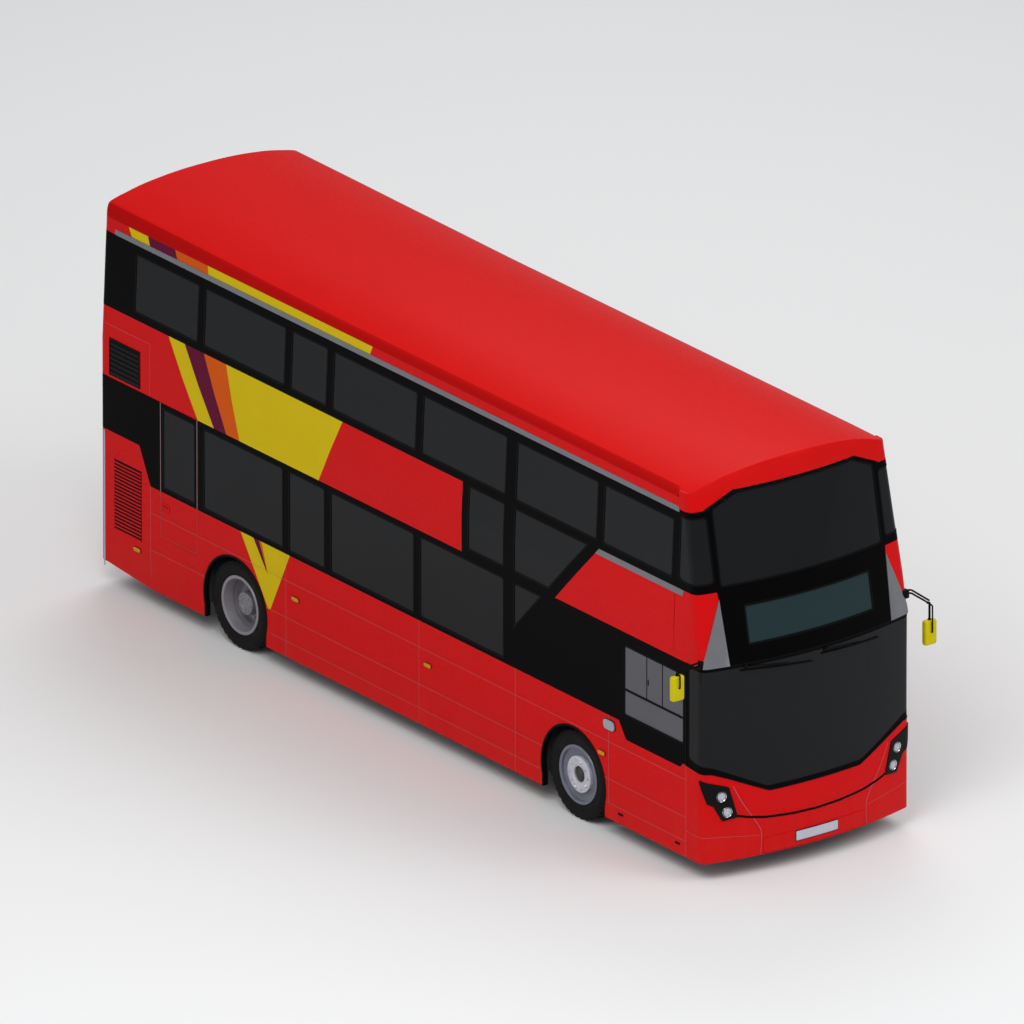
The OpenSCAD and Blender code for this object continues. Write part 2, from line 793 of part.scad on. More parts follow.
module cab_partition() {
    color("#2c2e30") difference() {
        union() {
            block([cab_x, -inner_y, floor_z], [cab_x + cab_wall_t, -cab_y, 2000]);
            block([cab_x, -cab_y - cab_wall_t, floor_z], [front_x - 700, -cab_y, 2000]);
        }
        block([cab_x + 200, -cab_y - 100, 1500], [front_x - 760, -cab_y + 100, 1940]);
        block([cab_x - 10, -inner_y + 80, 1100], [cab_x + 100, -cab_y - 100, 1940]);
        block([cab_door_x, -cab_y - 100, cab_door_z.x],
              [cab_door_x + cab_door_w, -cab_y + 100, cab_door_z.y]);
        translate([cab_door_x + hinge_in + move_gap, -cab_y - hinge_in, cab_door_z.x - pin_l])
            cylinder(r = hinge_r + pin_gap, h = cab_door_z.y - cab_door_z.x + 2 * pin_l);
    }
}

// ---- Doors ----

// Leaf that swings outward: hinge pin at the origin, outer face towards -Y, body towards -X.
module outward_leaf(w, h, t) {
    linear_extrude(h) polygon([
        [hinge_in, 8 - hinge_in], [hinge_in, t - hinge_in], [hinge_in - w, t - hinge_in],
        [hinge_in - w, -hinge_in], [hinge_in - 8, -hinge_in]
    ]);
    translate([0, 0, 6 - pin_l]) cylinder(r = hinge_r, h = h + 2 * pin_l - 12);
}

// Entrance leaf that swings inward on its turning pillar at the origin, towards +X.
module entrance_leaf() {
    h = leaf_z.y - leaf_z.x;
    translate([0, 0, leaf_z.x]) {
        cylinder(r = leaf_t / 2 + 3, h = h);
        difference() {
            block([0, -leaf_t / 2, 0], [leaf_w, leaf_t / 2, h]);
            block([65, -leaf_t, 120], [leaf_w - 45, leaf_t, h - 70]);
        }
        block([65.3, -glass_t / 2, 120.3], [leaf_w - 45.3, glass_t / 2, h - 70.3]);
        translate([0, 0, 6 - pin_l]) cylinder(r = hinge_r, h = h + 2 * pin_l - 12);
    }
}

module entrance_door_rear() {
    color("firebrick") translate([entrance_x0 + leaf_gap, leaf_y, 0]) entrance_leaf();
}

module entrance_door_front() {
    color("firebrick") translate([entrance_x1 - leaf_gap, leaf_y, 0])
        mirror([1, 0, 0]) entrance_leaf();
}

module emergency_door() {
    color("firebrick") difference() {
        translate([exit_x1 - hinge_in - move_gap, hinge_in - half_w, exit_sill_z + 6])
            outward_leaf(exit_w - 2 * move_gap, split_z - exit_sill_z - 2 * move_gap,
                         wall_t - move_gap);
        along_y(-half_w - overlap, 0)
            rounded(exit_x0 + 50, exit_x1 - 50, low_sill_z, low_head_z, window_r);
    }
    color("#202326") along_y(glass_in - half_w, glass_in + glass_t - half_w)
        rounded(exit_x0 + 50.3, exit_x1 - 50.3, low_sill_z + pane_gap, low_head_z - pane_gap,
                window_r - pane_gap);
}

module engine_cover() {
    color("firebrick")
        translate([tail_x + hinge_in, move_gap - cover_w / 2, cover_z1 - hinge_in - move_gap])
        rotate([0, -90, -90])
            outward_leaf(cover_z1 - cover_z0 - 2 * move_gap, cover_w - 2 * move_gap, wall_t - move_gap);
}

module cab_door() {
    color("#2c2e30")
        translate([cab_door_x + hinge_in + move_gap, -cab_y - hinge_in, cab_door_z.x + 6])
            rotate([0, 0, 180])
                outward_leaf(cab_door_w - 2 * move_gap, cab_door_z.y - cab_door_z.x - 2 * move_gap,
                             cab_wall_t);
}

// ---- Running gear ----

module engine_block() {
    color("#4a4c4e") block([tail_x + 190, -600, cradle_top_z], [bulkhead_x - 40, 500, 1300]);
}

beam_z = 120;
beam_h = 80;
boss_r = 38;
boss_h = 120;
plate_t = 20;
spindle_r = 40;
spindle_end = 70;
stub_r = 45;
stub_end = 120;

module front_axle() {
    color("#333537") {
        block([axle_f - 45, 120 - kingpin_y, beam_z], [axle_f + 45, kingpin_y - 120, beam_z + beam_h]);
        for (s = [1, -1]) on_side(s) {
            block([axle_f - 30, kingpin_y - 200, beam_z], [axle_f + 30, kingpin_y - 120, hub_z + 40]);
            block([axle_f - 30, kingpin_y - 200, hub_z - 40], [axle_f + 30, kingpin_y, hub_z + 40]);
            block([axle_f - 60, rail_y - 40, beam_z + beam_h - overlap],
                  [axle_f + 60, rail_y + 40, rail_z]);
            translate([axle_f, kingpin_y, hub_z - boss_h / 2]) cylinder(r = boss_r, h = boss_h);
            translate([axle_f, kingpin_y, hub_z - boss_h / 2 - 50])
                cylinder(r = kingpin_r, h = boss_h + 100);
        }
    }
}

// Steering knuckle, drawn for the left: two lugs on the kingpin, a plate and the spindle.
module knuckle(side) {
    lug = boss_h / 2 + move_gap;
    color("#4b4d50") on_side(side) translate([axle_f, kingpin_y, hub_z]) difference() {
        union() {
            for (z = [lug, -lug - 36]) {
                translate([0, 0, z]) cylinder(r = 34, h = 36);
                block([-34, 0, z], [34, 60, z + 36]);
            }
            block([-50, boss_r + move_gap, -lug - 36],
                  [50, boss_r + move_gap + plate_t, lug + 36]);
            translate([0, boss_r + move_gap + plate_t - overlap, 0]) rotate([-90, 0, 0])
                cylinder(r = spindle_r, h = kingpin_in + spindle_end - boss_r - move_gap - plate_t
                         + overlap);
        }
        translate([0, 0, -lug - 40]) cylinder(r = kingpin_r + pin_gap, h = 2 * lug + 80);
    }
}

module knuckle_right() {
    knuckle(-1);
}

module knuckle_left() {
    knuckle(1);
}

axle_tube_r = 70;

module rear_axle() {
    color("#333537") {
        translate([axle_r, twin_y - 60, hub_z]) rotate([90, 0, 0])
            cylinder(r = axle_tube_r, h = 2 * (twin_y - 60));
        translate([axle_r, twin_y + stub_end, hub_z]) rotate([90, 0, 0])
            cylinder(r = stub_r, h = 2 * (twin_y + stub_end));
        translate([axle_r, 0, hub_z - 20]) sphere(r = 190);
        for (s = [1, -1]) on_side(s)
            translate([axle_r, rail_y, hub_z]) cylinder(r = 90, h = rear_rail_z - hub_z);
    }
}

twin_y = wheel_y - twin_pitch / 2;

// Rim profile, as [distance from the middle plane, radius] pairs round its section.
module rim_barrel() {
    rotate([-90, 0, 0]) rotate_extrude($fn = 96) polygon([
        [rim_r, -105], [rim_r + 20, -105], [rim_r + 20, -115], [rim_r - 16, -115],
        [rim_r - 16, -40], [rim_r - 26, -20], [rim_r - 26, 20], [rim_r - 16, 40],
        [rim_r - 16, 115], [rim_r + 20, 115], [rim_r + 20, 105], [rim_r, 105]
    ]);
}

// Disc turned about the wheel's axis between two distances from the middle plane.
module turned(r, y0, y1) {
    translate([0, y0, 0]) rotate([-90, 0, 0]) cylinder(r = r, h = y1 - y0, $fn = 96);
}

// Front wheel, drawn for the left: the disc bulges outwards and the hub stands proud.
module front_wheel(side) {
    color("#9a9ca2") on_side(side) translate([axle_f, wheel_y, hub_z]) difference() {
        union() {
            rim_barrel();
            turned(rim_r - 8, 62, 76);
            turned(188, 60, 104);
            turned(82, 60, 124);
            turned(110, boss_r + plate_t + 2 * move_gap - kingpin_in, 62);
        }
        turned(spindle_r + pin_gap, -10, spindle_end + move_gap);
    }
}

// Twin rear wheel, drawn for the left: two barrels on discs bolted back to back.
module rear_wheel(side) {
    color("#9a9ca2") on_side(side) translate([axle_r, twin_y, hub_z]) difference() {
        union() {
            for (y = [-1, 1]) translate([0, y * twin_pitch / 2, 0]) rim_barrel();
            turned(rim_r - 8, -14, 14);
            for (y = [-1, 1]) translate([0, y * 26, 0]) turned(rim_r - 2, -14, 14);
            turned(165, -40, 130);
            turned(120, 120, 200);
        }
        turned(stub_r + pin_gap, -60, stub_end + move_gap);
    }
}

module front_right_wheel() {
    front_wheel(-1);
}

module front_left_wheel() {
    front_wheel(1);
}

module rear_right_wheel() {
    rear_wheel(-1);
}

module rear_left_wheel() {
    rear_wheel(1);
}

// Tyre as a turned ring with round shoulders, seated on the rim.
module tyre() {
    rotate([-90, 0, 0]) rotate_extrude($fn = 120) polygon([
        [rim_r + pane_gap, -104.7], [rim_r + 21, -104.7], [rim_r + 60, 8 - tyre_w / 2],
        [rim_r + 95, -tyre_w / 2],
        [tyre_r - 45, 6 - tyre_w / 2], [tyre_r - 16, 18 - tyre_w / 2], [tyre_r, 38 - tyre_w / 2],
        [tyre_r, tyre_w / 2 - 38], [tyre_r - 16, tyre_w / 2 - 18], [tyre_r - 45, tyre_w / 2 - 6],
        [rim_r + 95, tyre_w / 2], [rim_r + 60, tyre_w / 2 - 8], [rim_r + 21, 104.7],
        [rim_r + pane_gap, 104.7]
    ]);
}

module front_right_tyre() {
    color("#18181a") translate([axle_f, -wheel_y, hub_z]) tyre();
}

module front_left_tyre() {
    color("#18181a") translate([axle_f, wheel_y, hub_z]) tyre();
}

module twin_tyres(side) {
    color("#18181a") for (y = [-1, 1])
        translate([axle_r, side * twin_y + y * twin_pitch / 2, hub_z]) tyre();
}

module rear_right_tyre() {
    twin_tyres(-1);
}

module rear_left_tyre() {
    twin_tyres(1);
}

// ---- Mirrors and lamps ----

// Mirror on its arm, drawn for the left; the two housings hang at different heights.
module mirror_arm(z) {
    reach = half_w + 275;
    knee = 2398;
    translate([front_x - 260, half_w - 130, 2400]) cube([60, 145, 70]);
    translate([front_x - 230, half_w + 10, 2430]) {
        rotate([-90, 0, 0]) cylinder(r = 14, h = 168);
        translate([0, 164, 0]) rotate([-110, 0, 0]) cylinder(r = 14, h = 105);
    }
    translate([front_x - 230, reach, z + 110]) cylinder(r = 12, h = knee - z - 110);
    translate([front_x - 265, reach - 72, z - 130]) cube([70, 144, 260]);
}

module mirrors() {
    color("gold") difference() {
        union() {
            on_side(1) mirror_arm(1960);
            on_side(-1) mirror_arm(2120);
        }
        upper_nose(-pane_gap);
    }
}

module lamps() {
    color("whitesmoke") {
        for (s = [1, -1]) on_side(s) intersection() {
            along_x(axle_f, front_x) offset(delta = -pane_gap) polygon(headlamp);
            nose_band(-6, 50, 600, 1100, nose_seam_x);
        }
        for (s = [1, -1]) on_side(s)
            along_x(rear_x, tail_x + wall_t) rounded(1000.3, 1159.7, 800.3, 1559.7, 19.7);
    }
}

chassis_frame();
rear_subframe();
lower_floor();
upper_floor();
right_lower_side();
left_lower_side();
right_upper_side();
left_upper_side();
roof();
front_bumper();
front_panel();
front_upper_panel();
rear_lower_panel();
rear_upper_panel();
windscreen();
upper_windscreen();
destination_display();
lower_windows();
upper_windows();
wheel_boxes();
staircase();
lower_seats();
upper_seats();
driver_seat();
dashboard();
steering_wheel();
cab_partition();
cab_door();
engine_block();
front_axle();
rear_axle();
knuckle_right();
knuckle_left();
front_right_wheel();
front_left_wheel();
rear_right_wheel();
rear_left_wheel();
front_right_tyre();
front_left_tyre();
rear_right_tyre();
rear_left_tyre();
entrance_door_rear();
entrance_door_front();
emergency_door();
engine_cover();
mirrors();
lamps();
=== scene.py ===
"""Looks of a double decker bus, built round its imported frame: paint, livery, glass,
rubber, wheels, seats, lamps and small fittings. Metres; +X forward, +Y left, +Z up."""

import math
from itertools import product

import bmesh
import bpy
from mathutils import Matrix, Vector
from mathutils.geometry import tessellate_polygon


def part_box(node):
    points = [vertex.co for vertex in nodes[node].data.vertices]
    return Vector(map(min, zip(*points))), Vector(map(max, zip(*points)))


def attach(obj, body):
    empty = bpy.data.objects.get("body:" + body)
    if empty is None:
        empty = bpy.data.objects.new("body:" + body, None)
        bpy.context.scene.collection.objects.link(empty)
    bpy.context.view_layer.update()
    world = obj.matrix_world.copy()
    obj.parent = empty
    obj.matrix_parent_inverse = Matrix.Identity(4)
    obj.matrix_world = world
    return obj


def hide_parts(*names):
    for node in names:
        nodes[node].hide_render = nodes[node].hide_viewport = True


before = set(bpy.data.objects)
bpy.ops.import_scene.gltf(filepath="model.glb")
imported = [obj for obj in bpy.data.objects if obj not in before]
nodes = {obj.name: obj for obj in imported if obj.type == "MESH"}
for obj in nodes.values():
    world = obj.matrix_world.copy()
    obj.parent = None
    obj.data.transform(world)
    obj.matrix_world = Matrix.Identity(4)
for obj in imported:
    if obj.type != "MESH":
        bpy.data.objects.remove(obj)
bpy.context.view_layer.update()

# ---- Frame values ----------------------------------------------------------------


def middle(node):
    lo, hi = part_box(node)
    return (lo + hi) / 2


AXLE_F = middle("front_left_tyre").x
AXLE_R = middle("rear_left_tyre").x
HUB_Z = middle("front_left_tyre").z
WHEEL_Y = middle("front_left_tyre").y
TWIN_Y = middle("rear_left_tyre").y
TYRE_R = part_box("front_left_tyre")[1].z - HUB_Z
TYRE_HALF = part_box("front_left_tyre")[1].y - WHEEL_Y
HALF_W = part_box("left_lower_side")[1].y
INNER_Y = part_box("left_lower_side")[0].y
WALL = HALF_W - INNER_Y
SPLIT_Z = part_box("left_lower_side")[1].z
SKIRT_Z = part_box("left_lower_side")[0].z
SEAM_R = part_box("left_lower_side")[0].x
SEAM_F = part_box("left_lower_side")[1].x
SEAM_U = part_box("left_upper_side")[1].x
CANT_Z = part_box("left_upper_side")[1].z
NOSE_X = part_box("front_panel")[1].x
TAIL_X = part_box("rear_lower_panel")[0].x
FLOOR_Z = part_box("dashboard")[0].z
UPPER_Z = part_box("upper_floor")[1].z
NOSE_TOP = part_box("front_upper_panel")[1].z
TOP_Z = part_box("roof")[1].z
REAR_FLOOR_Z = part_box("wheel_boxes")[1].z - 0.24
BOX_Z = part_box("wheel_boxes")[1].z
TUMBLE, TUMBLE_Z = 0.047, 2.63  # lean of the upper walls
RAKE = 0.1965  # rake of the upper nose
BOW_R, NOSE_R, TAIL_R = 4.6, 0.09, 0.08  # bow of the nose, and the body's upright corners
GLASS_IN, GLASS_T = 0.003, 0.008  # how deep the panes sit, and how thick they are
# Posts between the side windows, then the door openings: each is a place along x.
PILLARS = [AXLE_R - 0.597, AXLE_R + 0.84, AXLE_R + 1.53, AXLE_F - 2.56]
STAIR_P = (AXLE_F - 1.14, AXLE_F - 0.975)
FRONT_P = AXLE_F + 0.395
EXIT_X1 = AXLE_R - 0.619
EXIT_X0 = EXIT_X1 - 0.63
DOOR_X0 = AXLE_F + 0.65
DOOR_X1 = DOOR_X0 + 1.11
LOW = (1.34, 2.19)  # sill and head of the lower windows
UP = (3.06, 3.67)
BAND_LOW = 1.295  # foot of the lower black band; foot and top of the upper one
BAND_UP = (2.985, 3.765)
RIGHT, LEFT = -1, 1


def half_width(z):
    """Half the body's width at height z, less where the upper walls lean in."""
    return HALF_W - TUMBLE * max(0.0, z - TUMBLE_Z)


def nose_corner(z):
    """Centre of the round nose corner at height z, and the half angle of the bow."""
    fy = half_width(z) - NOSE_R
    reach = BOW_R - NOSE_R
    face = NOSE_X - RAKE * max(0.0, z - SPLIT_Z)
    return face - BOW_R + math.sqrt(reach * reach - fy * fy), fy, math.asin(fy / reach), face


def skin(s, z, d=0.0):
    """Point of the outside, s round from the middle of the nose (left is +), d proud."""
    fx, fy, turn, face = nose_corner(z)
    a, sign = abs(s), math.copysign(1, s)
    bow, quarter = BOW_R * turn, NOSE_R * (math.pi / 2 - turn)
    if a <= bow:
        t = a / BOW_R
        x, y = face - BOW_R + (BOW_R + d) * math.cos(t), (BOW_R + d) * math.sin(t)
    elif a <= bow + quarter:
        t = turn + (a - bow) / NOSE_R
        x, y = fx + (NOSE_R + d) * math.cos(t), fy + (NOSE_R + d) * math.sin(t)
    else:
        x, y = fx - (a - bow - quarter), half_width(z) + d
        past = TAIL_X + TAIL_R - x
        if past > 0:
            t = min(past / TAIL_R, math.pi / 2)
            y = half_width(z) - TAIL_R + (TAIL_R + d) * math.cos(t)
            x = TAIL_X + TAIL_R - (TAIL_R + d) * math.sin(t)
            y -= max(0.0, past - TAIL_R * math.pi / 2)
    return Vector((x, sign * y, z))


def s_of_x(x, z):
    """Way round the skin to the point of the side at x."""
    fx, fy, turn, face = nose_corner(z)
    return BOW_R * turn + NOSE_R * (math.pi / 2 - turn) + fx - x


def s_of_y(y, z):
    """Way round the skin to the point of the nose or its corner at y."""
    fx, fy, turn, face = nose_corner(z)
    a = abs(y)
    if a <= BOW_R * math.sin(turn):
        s = BOW_R * math.asin(a / BOW_R)
    else:
        s = BOW_R * turn + NOSE_R * (math.asin(min(1.0, (a - fy) / NOSE_R)) - turn)
    return math.copysign(s, y)


def side(sign):
    """Surface of one side: u is x, and it runs on round both corners."""
    return lambda u, v, d: skin(sign * s_of_x(u, v), v, d)


def tail(u, v, d):
    """Surface of the tail: u is y."""
    return Vector((TAIL_X - d, u, v))


def across_x(u, v, d):
    """Flat surface across x: u is y, v is z, and d is x itself."""
    return Vector((d, u, v))


def across_y(u, v, d):
    """Flat surface across y: u is x and v is z."""
    return Vector((u, d, v))


def across_z(u, v, d):
    """Flat surface across z: u is x and v is y."""
    return Vector((u, v, d))


# Where a flat outline is cut, so that it bends with the skin.
NOSE_CUTS = [s * k for k in [0.1 * i for i in range(1, 12)] + [1.17 + 0.0133 * i for i in range(15)]
             for s in (1, -1)] + [0.0]
TAIL_CUTS = [TAIL_X + TAIL_R - 0.0105 * i for i in range(13)]

# ---- Outlines --------------------------------------------------------------------


def fillet(points, r, n=6):
    """Closed outline with its corners rounded to radius r (one number, or one each)."""
    radii = r if isinstance(r, (list, tuple)) else [r] * len(points)
    out = []
    for i, p in enumerate(points):
        p = Vector(p)
        a, b = Vector(points[i - 1]), Vector(points[(i + 1) % len(points)])
        u, w = (a - p).normalized(), (b - p).normalized()
        half = math.acos(max(-1.0, min(1.0, u.dot(w)))) / 2
        if radii[i] <= 0 or half > 1.55:
            out.append(tuple(p))
            continue
        reach = min(radii[i] / math.tan(half), (a - p).length * 0.49, (b - p).length * 0.49)
        p1, p2, weight = p + u * reach, p + w * reach, math.sin(half)
        for k in range(n + 1):
            t = k / n
            c = ((1 - t) ** 2, 2 * weight * t * (1 - t), t * t)
            q = (p1 * c[0] + p * c[1] + p2 * c[2]) / sum(c)
            out.append(tuple(q))
    return out


def rect(x0, x1, z0, z1, r=0.0, n=6):
    """Rectangle with its corners rounded to r."""
    return fillet([(x0, z0), (x1, z0), (x1, z1), (x0, z1)], r, n)


def area(loop):
    """Signed area of an outline, positive where it runs anticlockwise."""
    return sum(a[0] * b[1] - b[0] * a[1] for a, b in zip(loop, loop[1:] + loop[:1])) / 2


def grow(loop, d):
    """Outline moved outwards by d (inwards where d is negative)."""
    turn = 1 if area(loop) > 0 else -1
    out = []
    for i, p in enumerate(loop):
        p, a, b = Vector(p), Vector(loop[i - 1]), Vector(loop[(i + 1) % len(loop)])
        e1, e2 = (p - a).normalized(), (b - p).normalized()
        n1, n2 = Vector((e1.y, -e1.x)) * turn, Vector((e2.y, -e2.x)) * turn
        m = (n1 + n2).normalized()
        out.append(tuple(p + m * d / max(0.4, m.dot(n1))))
    return out


def band(points, width):
    """Outline of a strip of that width along a polyline."""
    left, right = [], []
    for i, p in enumerate(points):
        p = Vector(p)
        e = [Vector(points[j + 1]) - Vector(points[j]) for j in (i - 1, i) if 0 <= j < len(points) - 1]
        n = sum((k.normalized() for k in e), Vector((0, 0))).normalized()
        m = Vector((-n.y, n.x))
        scale = width / 2 / max(0.5, abs(m.dot(Vector((-e[0].y, e[0].x)).normalized())))
        left.append(tuple(p + m * scale))
        right.append(tuple(p - m * scale))
    return left + right[::-1]


# ---- Mesh pieces -----------------------------------------------------------------


def polar(r, a, h=0.0):
    """Point at radius r, angle a and height h."""
    return Vector((r * math.cos(a), r * math.sin(a), h))


def border(rows, m):
    """Indices round the edge of a grid of rows by m points."""
    return (list(range(m)) + [(i + 1) * m - 1 for i in range(1, rows)]
            + [(rows - 1) * m + k for k in range(m - 2, -1, -1)] + [i * m for i in range(rows - 2, 0, -1)])


class Part:
    """Collects closed solids, and turns them into one piece."""

    def __init__(self):
        self.bm = bmesh.new()

    def add(self, verts, faces):
        """Adds one closed solid, its faces turned outwards."""
        vs = [self.bm.verts.new(v) for v in verts]
        made = []
        for f in faces:
            try:
                made.append(self.bm.faces.new([vs[i] for i in f]))
            except ValueError:
                continue
        bmesh.ops.recalc_face_normals(self.bm, faces=made)

    def film(self, loops, surface, d0, d1, cuts_u=(), cuts_v=()):
        """Solid between depths d0 and d1 under a flat outline with holes."""
        flat = bmesh.new()
        rings = [[Vector((p[0], p[1], 0)) for p in loop] for loop in loops]
        vs = [flat.verts.new(p) for ring in rings for p in ring]
        for t in tessellate_polygon(rings):
            try:
                flat.faces.new([vs[i] for i in t])
            except ValueError:
                pass
        us = [p[0] for p in loops[0]]
        ws = [p[1] for p in loops[0]]
        for k, cuts, lo, hi in ((0, cuts_u, min(us), max(us)), (1, cuts_v, min(ws), max(ws))):
            for c in cuts:
                if lo + 1e-4 < c < hi - 1e-4:
                    bmesh.ops.bisect_plane(
                        flat, geom=flat.verts[:] + flat.edges[:] + flat.faces[:],
                        plane_co=(c, 0, 0) if k == 0 else (0, c, 0),
                        plane_no=(1, 0, 0) if k == 0 else (0, 1, 0), dist=1e-6)
        flat.verts.index_update()
        count = len(flat.verts)
        verts = [surface(v.co.x, v.co.y, d) for d in (d1, d0) for v in flat.verts]
        faces = []
        for f in flat.faces:
            ids = [v.index for v in f.verts]
            faces += [ids, [i + count for i in reversed(ids)]]
        for e in flat.edges:
            if len(e.link_faces) == 1:
                a, b = e.verts[0].index, e.verts[1].index
                faces.append([a, b, b + count, a + count])
        flat.free()
        self.add(verts, faces)
        return self

    def box(self, lo, hi, at=None):
        """Box between two corners, moved by matrix at."""
        corners = [Vector(c) for c in product(*zip(lo, hi))]
        if at is not None:
            corners = [at @ c for c in corners]
        self.add(corners, [(0, 1, 3, 2), (4, 6, 7, 5), (0, 4, 5, 1), (2, 3, 7, 6), (0, 2, 6, 4),
                           (1, 5, 7, 3)])
        return self

    def lathe(self, profile, at, n=48, closed=False, wave=None):
        """Turned solid: profile of (radius, height) about the Z axis of matrix at."""
        verts, rows = [], []
        for r, h in profile:
            if r < 1e-6:
                rows.append([len(verts)] * n)
                verts.append(at @ Vector((0, 0, h)))
            else:
                rows.append(list(range(len(verts), len(verts) + n)))
                for k in range(n):
                    a = 2 * math.pi * k / n
                    q = wave(r, h, k) if wave else (r, h)
                    verts.append(at @ polar(q[0], a, q[1]))
        faces = []
        for i in range(len(rows) if closed else len(rows) - 1):
            a, b = rows[i], rows[(i + 1) % len(rows)]
            for k in range(n):
                ids = [a[k], a[(k + 1) % n], b[(k + 1) % n], b[k]]
                ids = [v for j, v in enumerate(ids) if v != ids[j - 1]]
                if len(ids) > 2:
                    faces.append(ids)
        if not closed:
            for row, r in ((rows[0], profile[0][0]), (rows[-1], profile[-1][0])):
                if r > 1e-6:
                    faces.append(row)
        self.add(verts, faces)
        return self

    def tube(self, points, r, n=10, closed=False):
        """Round bar along a line of points."""
        pts = [Vector(p) for p in points]
        count = len(pts)
        verts, up = [], None
        for i, p in enumerate(pts):
            a = pts[i - 1] if closed or i else p
            b = pts[(i + 1) % count] if closed or i < count - 1 else p
            t = (b - a).normalized()
            if up is None:
                up = t.orthogonal().normalized()
            up = (up - t * up.dot(t)).normalized()
            w = t.cross(up)
            verts += [p + up * r * math.cos(2 * math.pi * k / n) + w * r * math.sin(2 * math.pi * k / n)
                      for k in range(n)]
        faces = [[i * n + k, i * n + (k + 1) % n, (i + 1) % count * n + (k + 1) % n,
                  (i + 1) % count * n + k]
                 for i in range(count if closed else count - 1) for k in range(n)]
        if not closed:
            faces += [list(range(n)), list(range((count - 1) * n, count * n))]
        self.add(verts, faces)
        return self

    def make(self, name, material, slot, bevel=0.0, segments=2, angle=32, body="body"):
        """Turns what was collected into a named piece that rides on body."""
        mesh = bpy.data.meshes.new(name)
        self.bm.to_mesh(mesh)
        self.bm.free()
        for p in mesh.polygons:
            p.use_smooth = True
        mesh.set_sharp_from_angle(angle=math.radians(angle))
        for m in material if isinstance(material, (list, tuple)) else [material]:
            mesh.materials.append(m)
        return place(name, mesh, body, bevel, segments)


def place(name, mesh, body, bevel=0.0, segments=2, at=None):
    obj = bpy.data.objects.new(name, mesh)
    bpy.context.scene.collection.objects.link(obj)
    if at is not None:
        obj.matrix_world = at
    if bevel:
        mod = obj.modifiers.new("edge", "BEVEL")
        mod.width, mod.segments, mod.limit_method = bevel, segments, "ANGLE"
        mod.angle_limit = math.radians(40)
        mod.harden_normals = True
        mod.use_clamp_overlap = True
    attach(obj, body)
    return obj


def facing(origin, axis):
    """Matrix with its Z axis along axis, at origin."""
    turn = Vector((0, 0, 1)).rotation_difference(Vector(axis)).to_matrix().to_4x4()
    return Matrix.Translation(Vector(origin)) @ turn


def curve(points, n=6):
    """Smooth line through points."""
    pts = [Vector(p) for p in points]
    out = []
    for i in range(len(pts) - 1):
        a, b, c, d = pts[max(0, i - 1)], pts[i], pts[i + 1], pts[min(len(pts) - 1, i + 2)]
        for k in range(n):
            t = k / n
            out.append(0.5 * (2 * b + (c - a) * t + (2 * a - 5 * b + 4 * c - d) * t * t
                              + (3 * b - a - 3 * c + d) * t ** 3))
    return out + [pts[-1]]


def elbow(points, r, n=5):
    """Line with its inner corners rounded to reach r."""
    pts = [Vector(p) for p in points]
    out = [pts[0]]
    for a, p, b in zip(pts, pts[1:], pts[2:]):
        reach = min(r, (a - p).length * 0.45, (b - p).length * 0.45)
        p1, p2 = p + (a - p).normalized() * reach, p + (b - p).normalized() * reach
        out += [(1 - k / n) ** 2 * p1 + 2 * k / n * (1 - k / n) * p + (k / n) ** 2 * p2
                for k in range(n + 1)]
    return out + [pts[-1]]


# ---- Materials -------------------------------------------------------------------


def srgb(r, g, b):
    """Linear colour from a screen colour of 0 to 255."""
    def one(c):
        c /= 255
        return c / 12.92 if c <= 0.04045 else ((c + 0.055) / 1.055) ** 2.4
    return one(r), one(g), one(b)


